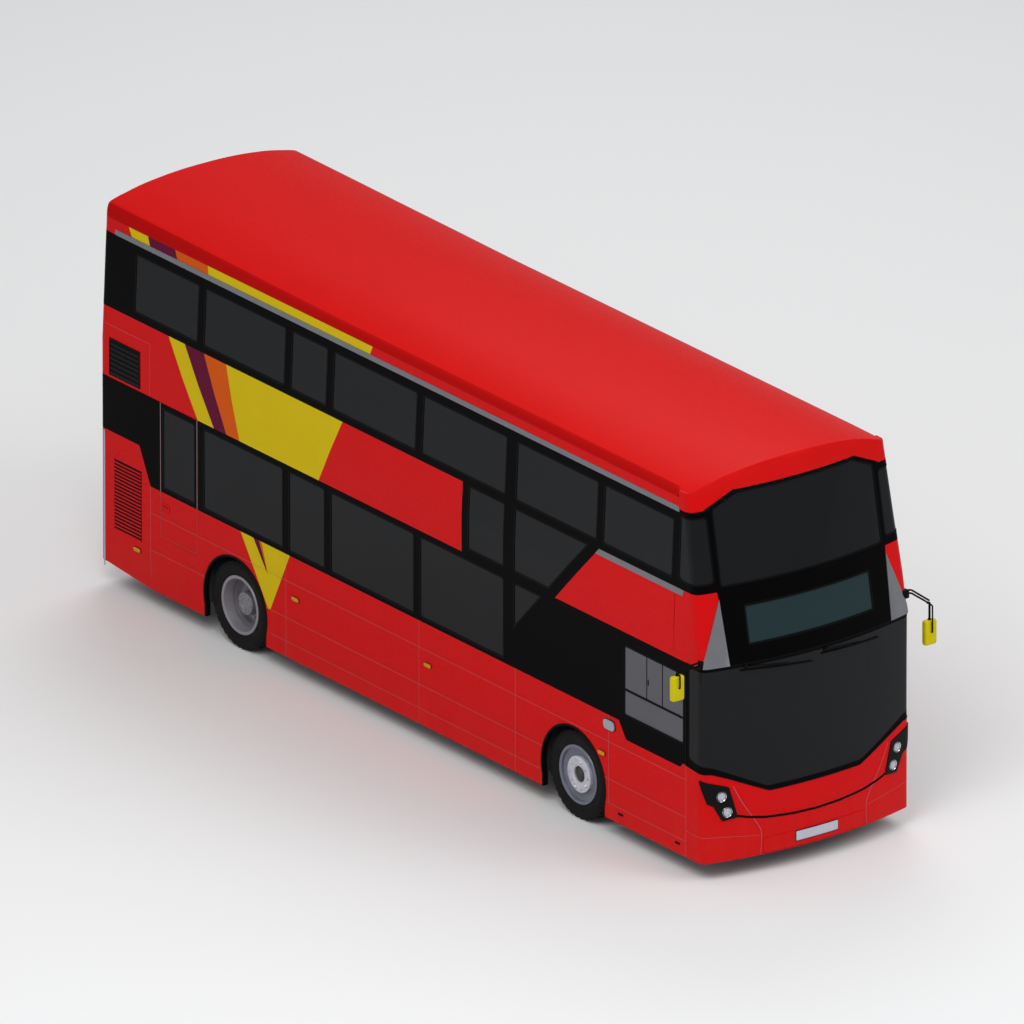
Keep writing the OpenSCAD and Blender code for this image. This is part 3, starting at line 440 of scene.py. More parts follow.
class Nodes:
    """A material's node tree, with short calls for the usual nodes."""

    def __init__(self, name):
        self.mat = bpy.data.materials.new(name)
        self.mat.use_nodes = True
        self.tree = self.mat.node_tree
        self.bsdf = self.tree.nodes["Principled BSDF"]
        self.coord = self.tree.nodes.new("ShaderNodeTexCoord").outputs["Object"]
        self.normal = None

    def node(self, kind):
        return self.tree.nodes.new("ShaderNode" + kind)

    def link(self, a, b):
        self.tree.links.new(a, b)

    def noise(self, scale, detail=2.0, rough=0.5, stretch=None):
        """Fractal noise in object space."""
        n = self.node("TexNoise")
        n.inputs["Scale"].default_value = scale
        n.inputs["Detail"].default_value = detail
        n.inputs["Roughness"].default_value = rough
        if stretch:
            m = self.node("Mapping")
            m.inputs["Scale"].default_value = stretch
            self.link(self.coord, m.inputs["Vector"])
            self.link(m.outputs["Vector"], n.inputs["Vector"])
        else:
            self.link(self.coord, n.inputs["Vector"])
        return n.outputs["Fac"]

    def cells(self, scale, output="Distance"):
        """Voronoi cells in object space."""
        n = self.node("TexVoronoi")
        n.inputs["Scale"].default_value = scale
        self.link(self.coord, n.inputs["Vector"])
        return n.outputs[output]

    def spread(self, value, a, b, lo=0.0, hi=1.0, smooth=False):
        """Maps a..b to lo..hi, and holds it there."""
        n = self.node("MapRange")
        n.interpolation_type = "SMOOTHSTEP" if smooth else "LINEAR"
        for key, v in zip(("From Min", "From Max", "To Min", "To Max"), (a, b, lo, hi)):
            n.inputs[key].default_value = v
        self.link(value, n.inputs["Value"])
        return n.outputs["Result"]

    def math(self, op, a, b):
        """One step of arithmetic on two numbers or sockets."""
        n = self.node("Math")
        n.operation = op
        for i, v in enumerate((a, b)):
            if isinstance(v, (int, float)):
                n.inputs[i].default_value = v
            else:
                self.link(v, n.inputs[i])
        return n.outputs["Value"]

    def axis(self, name):
        """One coordinate of the object."""
        if not hasattr(self, "split"):
            self.split = self.node("SeparateXYZ")
            self.link(self.coord, self.split.inputs["Vector"])
        return self.split.outputs[name]

    def mix(self, fac, a, b):
        """Blend of two colours."""
        n = self.node("Mix")
        n.data_type = "RGBA"
        self.link(fac, n.inputs["Factor"])
        for i, v in ((6, a), (7, b)):
            if isinstance(v, tuple):
                n.inputs[i].default_value = (*v, 1)
            else:
                self.link(v, n.inputs[i])
        return n.outputs[2]

    def bump(self, height, distance):
        """Adds a layer of relief to those before it."""
        n = self.node("Bump")
        n.inputs["Distance"].default_value = distance
        self.link(height, n.inputs["Height"])
        if self.normal is not None:
            self.link(self.normal, n.inputs["Normal"])
        self.normal = n.outputs["Normal"]

    def finish(self, color=None, rough=None, **constants):
        """Links colour, roughness and relief, sets the rest, and returns the material."""
        if color is not None:
            if isinstance(color, tuple):
                self.bsdf.inputs["Base Color"].default_value = (*color, 1)
            else:
                self.link(color, self.bsdf.inputs["Base Color"])
        if rough is not None:
            if isinstance(rough, float):
                self.bsdf.inputs["Roughness"].default_value = rough
            else:
                self.link(rough, self.bsdf.inputs["Roughness"])
        if self.normal is not None:
            self.link(self.normal, self.bsdf.inputs["Normal"])
        for key, value in constants.items():
            self.bsdf.inputs[key.replace("_", " ")].default_value = value
        return self.mat


def scaled(color, k):
    """Colour times k, with no channel over 1."""
    return tuple(min(1.0, c * k) for c in color)


DUST = srgb(122, 108, 92)


def coach_paint(name, color, dust=0.035, coat=0.10, rough=0.28, vary=0.04, gloss=0.02, haze=0.035):
    """Gloss coach paint: faint variation, orange peel, gentle waves in the panels, road dust low down."""
    n = Nodes(name)
    base = n.mix(n.noise(2.3, 3), scaled(color, 1 - vary), scaled(color, 1 + vary))
    low = n.spread(n.axis("Z"), 0.9, 0.2, 0.0, dust * 2, smooth=True)
    grime = n.math("MULTIPLY", low, n.spread(n.noise(9.0, 6, 0.65, (1, 1, 0.35)), 0.25, 0.85))
    base = n.mix(grime, base, DUST)
    n.bump(n.noise(1.7, 1), 0.004)
    n.bump(n.noise(420, 1), 0.00002)
    speck = n.spread(n.noise(60, 4), 0.3, 0.8, rough - 0.04, rough + 0.10)
    return n.finish(base, n.math("ADD", speck, grime), Coat_Weight=coat, Coat_Roughness=haze,
                    Specular_IOR_Level=gloss)


def plastic(name, color, rough=0.45, grain=900.0, depth=0.00008, vary=0.08, coat=0.0, dust=0.0, gloss=0.3):
    """Moulded plastic or painted trim with a fine grain."""
    n = Nodes(name)
    base = n.mix(n.noise(14, 4), scaled(color, 1 - vary), scaled(color, 1 + vary))
    if dust:
        low = n.spread(n.axis("Z"), 0.9, 0.15, 0.0, dust, smooth=True)
        base = n.mix(n.math("MULTIPLY", low, n.spread(n.noise(22, 6, 0.7), 0.3, 0.7)), base, DUST)
    n.bump(n.cells(grain), depth)
    return n.finish(base, n.spread(n.noise(35, 4), 0.25, 0.75, rough - 0.06, rough + 0.08),
                    Coat_Weight=coat, Specular_IOR_Level=gloss)


def metal(name, color, rough=0.35, metallic=1.0, brushed=None, coat=0.0, wear=None, grime=0.0):
    """Bare or painted metal, brushed along an axis where asked, worn and dirty in patches."""
    n = Nodes(name)
    base = n.mix(n.noise(7, 5), scaled(color, 0.9), scaled(color, 1.08))
    if wear:
        worn = n.spread(n.noise(46, 8, 0.7), 0.62, 0.68)
        base = n.mix(worn, base, wear)
    if grime:
        patch = n.spread(n.noise(11, 7, 0.68), 0.42, 0.78, 0.0, grime, smooth=True)
        base = n.mix(patch, base, scaled(DUST, 0.6))
    if brushed:
        n.bump(n.noise(90, 3, 0.6, brushed), 0.00006)
    n.bump(n.noise(300, 2), 0.00003)
    return n.finish(base, n.spread(n.noise(25, 5), 0.3, 0.75, rough - 0.07, rough + 0.1),
                    Metallic=metallic, Coat_Weight=coat)


def glass(name, color, through):
    """Tinted glass: dark body, clear gloss, a share of the light passing through."""
    n = Nodes(name)
    base = n.mix(n.noise(1.4, 2), scaled(color, 0.92), scaled(color, 1.08))
    n.bump(n.noise(1.1, 1), 0.0008)
    return n.finish(base, n.spread(n.noise(18, 5), 0.45, 0.8, 0.02, 0.06),
                    Transmission_Weight=through, IOR=1.45, Specular_IOR_Level=0.04, Coat_Weight=0.08)


red_paint = coach_paint("red_coach_paint", (0.60, 0.004, 0.005))
roof_paint = coach_paint("roof_coach_paint", (0.60, 0.007, 0.007), dust=0.0, coat=0.025, gloss=0.01,
                         haze=0.4)
# Darker copy of the roof red for the sloping roof edge: painted shade.
painted_shade_edge = coach_paint("roof_edge_painted_shade", (0.42, 0.003, 0.003), dust=0.0, coat=0.05, gloss=0.01, haze=0.4)
black_paint = coach_paint("black_gloss", (0.0016, 0.0016, 0.0018), dust=0.004, coat=0.06, rough=0.2,
                          vary=0.15, gloss=0.005)
yellow_film = coach_paint("yellow_film", srgb(206, 180, 2))
plum_film = coach_paint("plum_film", srgb(94, 1, 44))
orange_film = coach_paint("orange_film", srgb(206, 84, 1))
# The pale colour of the panel joints is a painted highlight.
joint_painted_highlight = plastic("panel_joint_painted_highlight", srgb(164, 82, 86), 0.5)
silver_trim = metal("silver_trim", srgb(120, 121, 126), 0.42, 0.6, brushed=(1, 30, 30), coat=0.1)
rubber = plastic("window_rubber", (0.0035, 0.0035, 0.004), 0.5, grain=1400, depth=0.00005, gloss=0.04)
window_glass = glass("tinted_glass", (0.0095, 0.0105, 0.0118), 0.12)
cab_glass = glass("cab_glass", (0.115, 0.115, 0.13), 0.15)
display_glass = glass("display_glass", (0.018, 0.036, 0.041), 0.1)
black_plastic = plastic("black_plastic", (0.005, 0.005, 0.0055), 0.42, dust=0.05, gloss=0.06)
steel_dark = metal("underbody_paint", (0.028, 0.028, 0.030), 0.55, 0.2, wear=(0.10, 0.055, 0.035),
                   grime=0.7)
vinyl = plastic("floor_vinyl", (0.115, 0.12, 0.13), 0.5, grain=260, depth=0.0003, vary=0.3)
box_plastic = plastic("box_plastic", (0.065, 0.067, 0.071), 0.55)
lining = plastic("wall_lining", (0.42, 0.43, 0.44), 0.5)
dash_plastic = plastic("dash_plastic", (0.030, 0.031, 0.034), 0.5, grain=700, depth=0.00015)
iron = metal("engine_iron", (0.10, 0.105, 0.11), 0.5, 0.6, grime=0.5, wear=(0.16, 0.10, 0.06))
chrome = metal("bright_metal", (0.75, 0.76, 0.78), 0.16)
dish_paint = metal("wheel_dish_paint", srgb(112, 118, 134), 0.42, 0.45, coat=0.2, grime=0.35)
twin_paint = metal("twin_wheel_paint", srgb(140, 136, 144), 0.42, 0.35, coat=0.2, grime=0.2)
rim_paint = metal("wheel_rim_paint", srgb(128, 129, 136), 0.40, 0.5, coat=0.2, grime=0.3)
ring_paint = metal("hub_ring_paint", srgb(200, 202, 212), 0.32, 0.4, coat=0.3, grime=0.15)
mirror_yellow = plastic("mirror_yellow", srgb(200, 186, 4), 0.32, grain=500, depth=0.00004, coat=0.1,
                        gloss=0.05)
plate_white = plastic("plate_white", srgb(186, 188, 200), 0.3, coat=0.4)
plate_yellow = plastic("plate_yellow", srgb(222, 190, 30), 0.3, coat=0.4)
rail_yellow = plastic("handrail_yellow", srgb(226, 178, 22), 0.38, grain=1500, coat=0.3)
repeater_lens = plastic("repeater_lens", srgb(152, 157, 168), 0.2, grain=200, depth=0.0001, coat=0.2,
                        gloss=0.1)
grille_slat = plastic("grille_slat", (0.0125, 0.0128, 0.0135), 0.45, grain=900, depth=0.00005, gloss=0.05)
headlamp_glass = plastic("headlamp_glass", srgb(172, 174, 186), 0.14, grain=200, depth=0.0002, coat=0.6)
white_lens = plastic("white_lens", srgb(226, 228, 236), 0.12, grain=160, depth=0.0004, coat=1.0)
amber_lens = plastic("amber_lens", srgb(208, 128, 0), 0.25, grain=160, depth=0.0004, coat=0.25, gloss=0.1)
red_lens = plastic("red_lens", srgb(178, 6, 10), 0.15, grain=160, depth=0.0004, coat=1.0)
mirror_glass = metal("mirror_glass", (0.82, 0.84, 0.86), 0.1)


def tyre_rubber():
    """Matt black rubber with dust in patches."""
    n = Nodes("tyre_rubber")
    base = n.mix(n.noise(30, 6, 0.7), (0.0045, 0.0045, 0.005), (0.009, 0.0088, 0.0088))
    dusty = n.spread(n.noise(8, 5, 0.6), 0.45, 0.8, 0.0, 0.06, smooth=True)
    base = n.mix(dusty, base, scaled(DUST, 0.5))
    n.bump(n.cells(500), 0.0002)
    return n.finish(base, n.spread(n.noise(60, 4), 0.3, 0.7, 0.62, 0.8), Specular_IOR_Level=0.12)


def moquette():
    """Cut-pile seat cloth: blue ground, small random flecks of red, yellow and pale blue."""
    n = Nodes("moquette")
    ground = n.mix(n.noise(260, 2), (0.010, 0.018, 0.085), (0.020, 0.032, 0.13))
    cells = n.cells(46, output="Color")
    pick = n.node("SeparateColor")
    n.link(cells, pick.inputs["Color"])
    dots = n.spread(n.cells(46), 0.30, 0.22)
    for channel, cut, color in (("Red", 0.80, (0.34, 0.012, 0.02)), ("Green", 0.82, (0.50, 0.33, 0.02)),
                                ("Blue", 0.78, (0.10, 0.22, 0.50))):
        here = n.math("MULTIPLY", n.math("GREATER_THAN", pick.outputs[channel], cut), dots)
        ground = n.mix(here, ground, color)
    n.bump(n.cells(1100), 0.0007)
    n.bump(n.noise(22, 3), 0.002)
    return n.finish(ground, 0.9, Sheen_Weight=0.5, Sheen_Roughness=0.4)


tyre_mat = tyre_rubber()
seat_cloth = moquette()
leatherette = plastic("driver_cloth", (0.022, 0.024, 0.030), 0.75, grain=650, depth=0.0005, vary=0.2)

for material, names in (
        (steel_dark, "chassis_frame rear_subframe front_axle rear_axle knuckle_right knuckle_left"),
        (red_paint, "right_lower_side left_lower_side right_upper_side left_upper_side"),
        (red_paint, "rear_lower_panel rear_upper_panel engine_cover"),
        (roof_paint, "roof"), (iron, "engine_block"), (display_glass, "destination_display"),
        (vinyl, "lower_floor upper_floor staircase"), (box_plastic, "wheel_boxes cab_partition cab_door"),
        (window_glass, "lower_windows upper_windows"), (dash_plastic, "dashboard steering_wheel")):
    for node in names.split():
        mesh = nodes[node].data
        mesh.materials.clear()
        mesh.materials.append(material)

# The inside faces of the walls are lined in pale grey, those of the engine bay painted dark.
for node in ("right_lower_side", "left_lower_side", "right_upper_side", "left_upper_side",
             "rear_upper_panel", "rear_lower_panel"):
    mesh = nodes[node].data
    mesh.materials.append(steel_dark if node == "rear_lower_panel" else lining)
    axis = 0 if "panel" in node else 1
    for face in mesh.polygons:
        if -face.normal[axis] * math.copysign(1, face.center[axis]) > 0.6:
            face.material_index = 1

# ---- Windows and their outlines --------------------------------------------------

POST = 0.05  # half width of a black post between two panes
MIDDLE = [(a + POST, b - POST) for a, b in zip(PILLARS, PILLARS[1:])]  # bays between the posts
BY_STAIR = (PILLARS[3] + POST, STAIR_P[0])
UP_BAYS = [(TAIL_X + 0.562, PILLARS[0] - POST), *MIDDLE, BY_STAIR, (STAIR_P[1], FRONT_P - POST),
           (FRONT_P + POST, SEAM_U - 0.053)]
LOW_BAYS = [(PILLARS[0] + 0.07, MIDDLE[0][1]), *MIDDLE[1:], BY_STAIR]
REAR_BAY = (EXIT_X0 + 0.006, EXIT_X1 - 0.006)
FRONT_BAY = (STAIR_P[1], DOOR_X0 - 0.14)
CAB_BAY = (AXLE_F + 0.829, AXLE_F + 1.786)
CAB_Z = (LOW[0] + 0.042, LOW[1] - 0.076)
up_windows = [rect(a, b, *UP, 0.03) for a, b in UP_BAYS]
low_windows = [rect(a, b, *LOW, 0.03) for a, b in LOW_BAYS]
cab_window = rect(*CAB_BAY, *CAB_Z, 0.03)
sx = STAIR_P[1]
stair_quad = [(sx, SPLIT_Z + 0.06), (sx + 0.56, SPLIT_Z + 0.06), (sx + 1.19, SPLIT_Z + 0.722),
              (sx, SPLIT_Z + 0.722)]
stair_rect = rect(STAIR_P[0] - 0.585, STAIR_P[0], SPLIT_Z + 0.055, SPLIT_Z + 0.722, 0.03)
stair_tri = [(sx, SPLIT_Z - 0.53), (sx + 0.45, SPLIT_Z - 0.06), (sx, SPLIT_Z - 0.06)]
exit_window = rect(EXIT_X0 + 0.05, EXIT_X1 - 0.05, *LOW, 0.03)
rear_window = rect(-0.95, 0.95, *UP, 0.06)
side_low = {RIGHT: low_windows + [cab_window, stair_tri],
            LEFT: low_windows + [rect(*REAR_BAY, *LOW, 0.03), rect(*FRONT_BAY, *LOW, 0.03)]}
side_up = {RIGHT: up_windows + [stair_quad, stair_rect], LEFT: list(up_windows)}
NAMES = {RIGHT: "right", LEFT: "left"}
FILM = (0.0002, 0.0009)  # depths of paint and foil on the skin
FILM2 = (0.0004, 0.0012)  # the same for lines on top of them
LIFT = 0.0003  # start of the parts laid on the skin
PANE = (-GLASS_IN - GLASS_T, -GLASS_IN)  # depths of a pane
HEEL_X, HEEL_Z = -4.188, 1.675  # foot of the rear window band
LEAN = (TUMBLE_Z,)


def both(make):
    """Calls make for the right side, then for the left one."""
    for sign in (RIGHT, LEFT):
        make(sign, NAMES[sign], side(sign))


# ---- Black window bands ----------------------------------------------------------

TAIL_END = TAIL_X + TAIL_R - TAIL_R * math.pi / 2  # the side's outline, unrolled round the corner
TAIL_FLAT = HALF_W - TAIL_R


def window_bands(sign, name, surface):
    """Black paint round the windows of one side, on both decks."""
    up = Part()
    up.film([rect(TAIL_END, SEAM_U, *BAND_UP)] + up_windows, surface, *FILM,
            cuts_u=TAIL_CUTS, cuts_v=LEAN)
    if sign == RIGHT:
        deck = [(STAIR_P[0] - 0.688, SPLIT_Z), (STAIR_P[1] + 0.67, SPLIT_Z),
                (STAIR_P[1] + 1.368, BAND_UP[0]), (STAIR_P[0] - 0.688, BAND_UP[0])]
        up.film([deck, stair_quad, stair_rect], surface, *FILM, cuts_v=LEAN)
    up.make(f"upper_band_{name}", black_paint, "black_paint")
    low = Part()
    heel = [(TAIL_END, HEEL_Z), (-4.375, HEEL_Z), (HEEL_X, BAND_LOW), (EXIT_X0, BAND_LOW),
            (EXIT_X0, SPLIT_Z), (TAIL_END, SPLIT_Z)]
    if sign == RIGHT:
        low.film([heel], surface, *FILM, cuts_u=TAIL_CUTS)
        front = [(EXIT_X1, BAND_LOW), (3.514, BAND_LOW), (3.637, 1.123), (4.511, 1.123), (4.558, 1.172),
                 (SEAM_F, 1.172), (SEAM_F, SPLIT_Z), (EXIT_X1, SPLIT_Z)]
        low.film([front] + side_low[RIGHT], surface, *FILM)
    else:
        heel = heel[:3] + [(DOOR_X0, BAND_LOW), (DOOR_X0, LOW[1]), (DOOR_X1, LOW[1]), (DOOR_X1, 1.13),
                           (SEAM_F, 1.172), (SEAM_F, SPLIT_Z), (TAIL_END, SPLIT_Z)]
        low.film([heel] + side_low[LEFT], surface, *FILM, cuts_u=TAIL_CUTS)
    low.make(f"lower_band_{name}", black_paint, "black_paint")


both(window_bands)

# ---- Window rubbers --------------------------------------------------------------


def rubber_ring(part, loop, surface, outer=0.008, inner=0.012, depth=(-0.0028, 0.0022), cuts=()):
    """Seal astride the edge of a pane."""
    part.film([grow(loop, outer), grow(loop, -inner)], surface, *depth, cuts_u=cuts, cuts_v=LEAN)


def rubbers(sign, name, surface):
    """Seals of all the panes of one side."""
    p = Part()
    for loop in side_low[sign] + side_up[sign]:
        rubber_ring(p, loop, surface)
    p.make(f"window_rubbers_{name}", rubber, "black_paint", bevel=0.0012)


both(rubbers)
p = Part()
p.film([rect(-TAIL_FLAT, TAIL_FLAT, *BAND_UP), rear_window],
       lambda u, v, d: tail(u * (half_width(v) - TAIL_R) / TAIL_FLAT if abs(u) > 1 else u, v, d), *FILM,
       cuts_v=LEAN)
p.film([rect(-TAIL_FLAT, TAIL_FLAT, HEEL_Z, SPLIT_Z)], tail, *FILM)
p.make("rear_bands", black_paint, "black_paint")
p = Part()
rubber_ring(p, rear_window, tail)
p.make("rear_window_rubber", rubber, "black_paint", bevel=0.0012)

# Cab side window: paler glass with a sliding light and its bars.
p = Part().film([grow(cab_window, -0.004)], side(RIGHT), -0.0028, -0.0012)
p.make("cab_window_glass", cab_glass, "window_glass")
p = Part()
z_bar = CAB_Z[0] + 0.271
for a, b, c, d in ((CAB_BAY[0] + 0.004, CAB_BAY[1] - 0.004, z_bar - 0.015, z_bar + 0.011),
                   (3.962, 3.972, z_bar, CAB_Z[1] - 0.004), (4.216, 4.226, z_bar, CAB_Z[1] - 0.004)):
    p.film([rect(a, b, c, d)], side(RIGHT), -0.0026, 0.0018)
p.box((3.985, -HALF_W - 0.004, z_bar + 0.16), (3.999, -HALF_W + 0.002, z_bar + 0.22))
p.make("cab_window_bars", rubber, "black_paint", bevel=0.001)

# ---- Livery ----------------------------------------------------------------------


def shear(x0, x1, x2, x3, z0, z1):
    """Leaning stripe: x0..x1 at its upper edge z1, x2..x3 at its lower edge z0."""
    return [(x2, z0), (x3, z0), (x1, z1), (x0, z1)]


def stripes(sign, name, surface):
    """Swept stripes of one side, in three heights, and the silver strips."""
    decks = [("yellow_a", yellow_film, -3.90, -3.634, -3.399, -3.132),
             ("plum", plum_film, -3.634, -3.316, -3.132, -2.924),
             ("orange", orange_film, -3.316, -2.947, -2.924, -2.706),
             ("yellow_b", yellow_film, -2.947, -1.024, -2.706, -1.398)]
    edge = [(-4.56, -4.26, -4.615, -4.297), (-4.26, -3.805, -4.297, -3.845),
            (-3.805, -3.29, -3.845, -3.305), (-3.29, -0.62, -3.305, -0.584)]
    vee = {"yellow_a": [(-2.689, BAND_LOW), (-2.235, 0.617), (-2.201, 0.617), (-2.235, 0.969),
                        (-2.48, BAND_LOW)],
           "plum": [(-2.48, BAND_LOW), (-2.275, 1.02), (-2.258, 1.02), (-2.388, BAND_LOW)],
           "orange": [(-2.388, BAND_LOW), (-2.27, 1.035), (-2.235, 0.969), (-2.345, BAND_LOW)],
           "yellow_b": [(-2.345, BAND_LOW), (-2.235, 0.969), (-2.201, 0.617), (-1.876, BAND_LOW)]}
    for (tag, film, a, b, c, d), (e0, e1, e2, e3) in zip(decks, edge):
        p = Part()
        p.film([shear(a, b, c, d, SPLIT_Z, BAND_UP[0])], surface, *FILM, cuts_v=LEAN)
        p.film([vee[tag]], surface, *FILM)
        p.film([shear(e2, e3, e0, e1, 3.82, CANT_Z - 0.001)], surface, *FILM)
        p.make(f"stripe_{tag}_{name}", film, "red_paint")
    p = Part()
    p.film([fillet([(-4.83, 3.765), (SEAM_U + 0.028, 3.765), (SEAM_U + 0.018, 3.82), (-4.83, 3.82)],
                   [0.01, 0.004, 0.02, 0.01])], surface, 0.0, 0.007)
    p.film([fillet([(3.173, 2.985), (3.113, 2.922), (4.53, 2.922), (4.545, 2.985)],
                   [0.004, 0.004, 0.008, 0.008])
            if sign == RIGHT else rect(3.173, 4.53, 2.922, 2.985, 0.004)], surface, 0.0, 0.005)
    p.make(f"silver_strips_{name}", silver_trim, "black_paint", bevel=0.0015)


both(stripes)

# ---- Panel joints ----------------------------------------------------------------

JOINT, JOINT_Z = 0.0022, 1.014  # half width of a panel joint, height of the upper one
ARCH_CLEAR = 0.522  # joints stop this far from a wheel's middle


def clear_of_arches(x0, x1, z):
    """Stretches of the line at height z between x0 and x1 that miss the wheel arches."""
    out, start = [], x0
    for c in (AXLE_R, AXLE_F):
        if z < HUB_Z + ARCH_CLEAR:
            half = math.sqrt(ARCH_CLEAR ** 2 - max(0.0, z - HUB_Z) ** 2)
            if x0 < c - half < x1:
                out.append((start, c - half))
                start = c + half
    return out + [(start, x1)]


def joints(sign, name, surface):
    """Pale lines where the panels of one side meet; their pale colour is a painted highlight."""
    p = Part()
    lines = []
    for z, x0 in ((JOINT_Z, HEEL_X), (0.62, HEEL_X), (0.367, -2.2)):
        for a, b in clear_of_arches(x0, SEAM_F, z):
            lines.append((a, b, z - JOINT, z + JOINT))
    uprights = [(HEEL_X, 0.32, BAND_LOW), (-1.94, SKIRT_Z + 0.003, BAND_LOW),
                (0.253, SKIRT_Z + 0.003, BAND_LOW), (1.83, SKIRT_Z + 0.003, BAND_LOW),
                (SEAM_F, SKIRT_Z + 0.003, 1.16), (3.35, 0.37, BAND_LOW)]
    for x, z0, z1 in uprights:
        lines.append((x - JOINT, x + JOINT, z0, z1))
    for a, b, c, d in lines:
        if sign == LEFT and b > DOOR_X0:
            if c > LOW[1] or b - a < 0.01:
                if DOOR_X0 < a < DOOR_X1:
                    continue
            else:
                b = DOOR_X0 - 0.01
                if a > b:
                    continue
        if sign == RIGHT and a < EXIT_X1 and b > EXIT_X0 and d > 0.81 and b - a > 0.01:
            p.film([rect(a, EXIT_X0 - 0.004, c, d)], surface, *FILM2)
            a = EXIT_X1 + 0.004
        p.film([rect(a, b, c, d)], surface, *FILM2)
    for a, b, c, d in ((-4.202, -4.198, 2.26, 2.805), (-4.95, -4.2, 2.801, 2.805)):
        p.film([rect(a, b, c, d)], surface, *FILM2, cuts_u=TAIL_CUTS, cuts_v=LEAN)
    p.make(f"panel_joints_{name}", joint_painted_highlight, "red_paint")


both(joints)

# ---- Louvres, grilles and side fittings ------------------------------------------


def louvre_field(part, slats, surface, x0, x1, z0, z1, count, proud=0.006, share=0.5):
    """Black sheet behind a row of sloping slats, painted shade standing in for the dark opening."""
    part.film([rect(x0, x1, z0, z1)], surface, LIFT, 0.0014)
    pitch = (z1 - z0) / count
    for i in range(count):
        z = z0 + pitch * i
        a, b = surface(x0 + 0.004, z, 0), surface(x1 - 0.004, z, 0)
        n = surface(x0, z, 1) - a
        rows = []
        for p0 in (a, b):
            rows += [p0 + n * 0.0008, p0 + n * proud,
                     p0 + n * (proud - 0.0022) + Vector((0, 0, pitch * share)),
                     p0 + n * 0.0008 + Vector((0, 0, pitch * share))]
        slats.add(rows, [(0, 1, 2, 3), (7, 6, 5, 4), (0, 4, 5, 1), (1, 5, 6, 2), (2, 6, 7, 3),
                         (3, 7, 4, 0)])


ARCH_R, ARCH_LEG, LIP = 0.508, 0.487, 1.045  # arch radius, half width at its foot, outer edge


def grilles(sign, name, surface):
    """Louvres, marker lamps, jack slots, filler flap and arch lips of one side."""
    dark, slats = Part(), Part()
    louvre_field(dark, slats, surface, -4.794, -4.337, 0.648, 1.402, 20, share=0.36)
    slats.make(f"engine_louvres_{name}", red_paint, "red_paint", bevel=0.0008)
    slats = Part()
    upper = (-4.853, -4.373, 2.295, 2.655)
    louvre_field(dark, slats, surface, *upper, 7, proud=0.008, share=0.42)
    dark.film([grow(rect(*upper), 0.016), rect(*upper)], surface, LIFT, 0.007)
    slats.make(f"upper_grille_slats_{name}", grille_slat, "black_paint", bevel=0.0008)
    # Black sheets behind the louvre slats are painted shade; the frame round the upper grille is black
    # trim.
    dark.make(f"louvre_painted_shade_and_frame_{name}", rubber, "black_paint")
    amber, clear, slots = Part(), Part(), Part()
    for x, z in ((-4.409, 0.548), (-1.78, 0.862), (0.40, 0.863), (3.24, 0.861)):
        loop = rect(x - 0.055, x + 0.055, z - 0.021, z + 0.021, 0.02)
        amber.film([loop], surface, LIFT, 0.012)
        slots.film([grow(loop, 0.006), grow(loop, 0.0005)], surface, LIFT, 0.006)
    amber.make(f"side_markers_{name}", amber_lens, "lamp_lens", bevel=0.005, segments=3)
    x = 3.37 if sign == RIGHT else 3.27
    lens = fillet([(x - 0.085, 1.145), (x + 0.095, 1.145), (x + 0.075, 1.245), (x - 0.095, 1.245)], 0.04)
    clear.film([lens], surface, LIFT, 0.016)
    clear.make(f"side_repeater_{name}", repeater_lens, "lamp_lens", bevel=0.006, segments=3)
    slots.film([grow(lens, 0.007), grow(lens, 0.0005)], surface, LIFT, 0.007)
    for x, z in ((3.547, 0.305), (4.47, 0.308)):
        if sign == RIGHT or x > 4:
            slots.film([rect(x - 0.04, x + 0.04, z - 0.012, z + 0.012, 0.008)], surface, LIFT, 0.004)
    slots.make(f"marker_surrounds_{name}", rubber, "black_paint", bevel=0.001)
    flap = Part()
    if sign == LEFT:
        loop = rect(-4.10, -3.76, 0.86, 1.14, 0.03)
        flap.film([loop], surface, LIFT, 0.003)
        for z in (0.92, 1.08):
            flap.film([rect(-4.112, -4.098, z - 0.02, z + 0.02, 0.003)], surface, LIFT, 0.009)
        flap.film([rect(-3.80, -3.775, 0.985, 1.015, 0.012)], surface, 0.003, 0.007)
        flap.make("filler_flap", red_paint, "red_paint", bevel=0.001)
    arch = Part()
    for c in (AXLE_F, AXLE_R):
        pts = [(c - ARCH_LEG, SKIRT_Z + 0.001)]
        dip = math.acos(ARCH_LEG / ARCH_R)
        for i in range(49):
            t = math.pi + dip - (math.pi + 2 * dip) * i / 48
            pts.append((c + ARCH_R * math.cos(t), HUB_Z + ARCH_R * math.sin(t)))
        pts.append((c + ARCH_LEG, SKIRT_Z + 0.001))
        outer = [((x - c) * LIP + c, z if z < HUB_Z else HUB_Z + (z - HUB_Z) * LIP) for x, z in pts]
        arch.film([outer + pts[::-1]], surface, -WALL - 0.004, 0.005)
    arch.make(f"arch_lips_{name}", rubber, "black_paint", bevel=0.002)


both(grilles)

# ---- Nose ------------------------------------------------------------------------


def nose(points, mirror=True):
    """Outline given as (|y|, z) or ("x", x, z), drawn for the left, in skin coordinates."""
    out = []
    for q in points:
        out.append((s_of_x(q[1], q[2]), q[2]) if q[0] == "x" else (s_of_y(q[0], q[1]), q[1]))
    return out + [(-s, z) for s, z in reversed(out)] if mirror else out


def flip(loop):
    """Outline mirrored to the other side of the nose."""
    return [(-s, z) for s, z in loop]


drop = [("x", SEAM_F, 1.170), (1.178, 1.1385), (1.0, 1.067), (0.555, 0.865)]
bumper_top = [("x", SEAM_F, 0.480), (1.178, 0.471), (0.90, 0.440), (0.50, 0.385)]
lamp_loop = [("x", NOSE_X - 0.235, 1.085), (0.995, 0.977), (0.900, 0.646), (1.070, 0.630), (1.160, 0.800),
             (1.225, 0.830)]
lamp_left = fillet(nose(lamp_loop, mirror=False), [0.012, 0.02, 0.015, 0.02, 0.03, 0.02], 3)

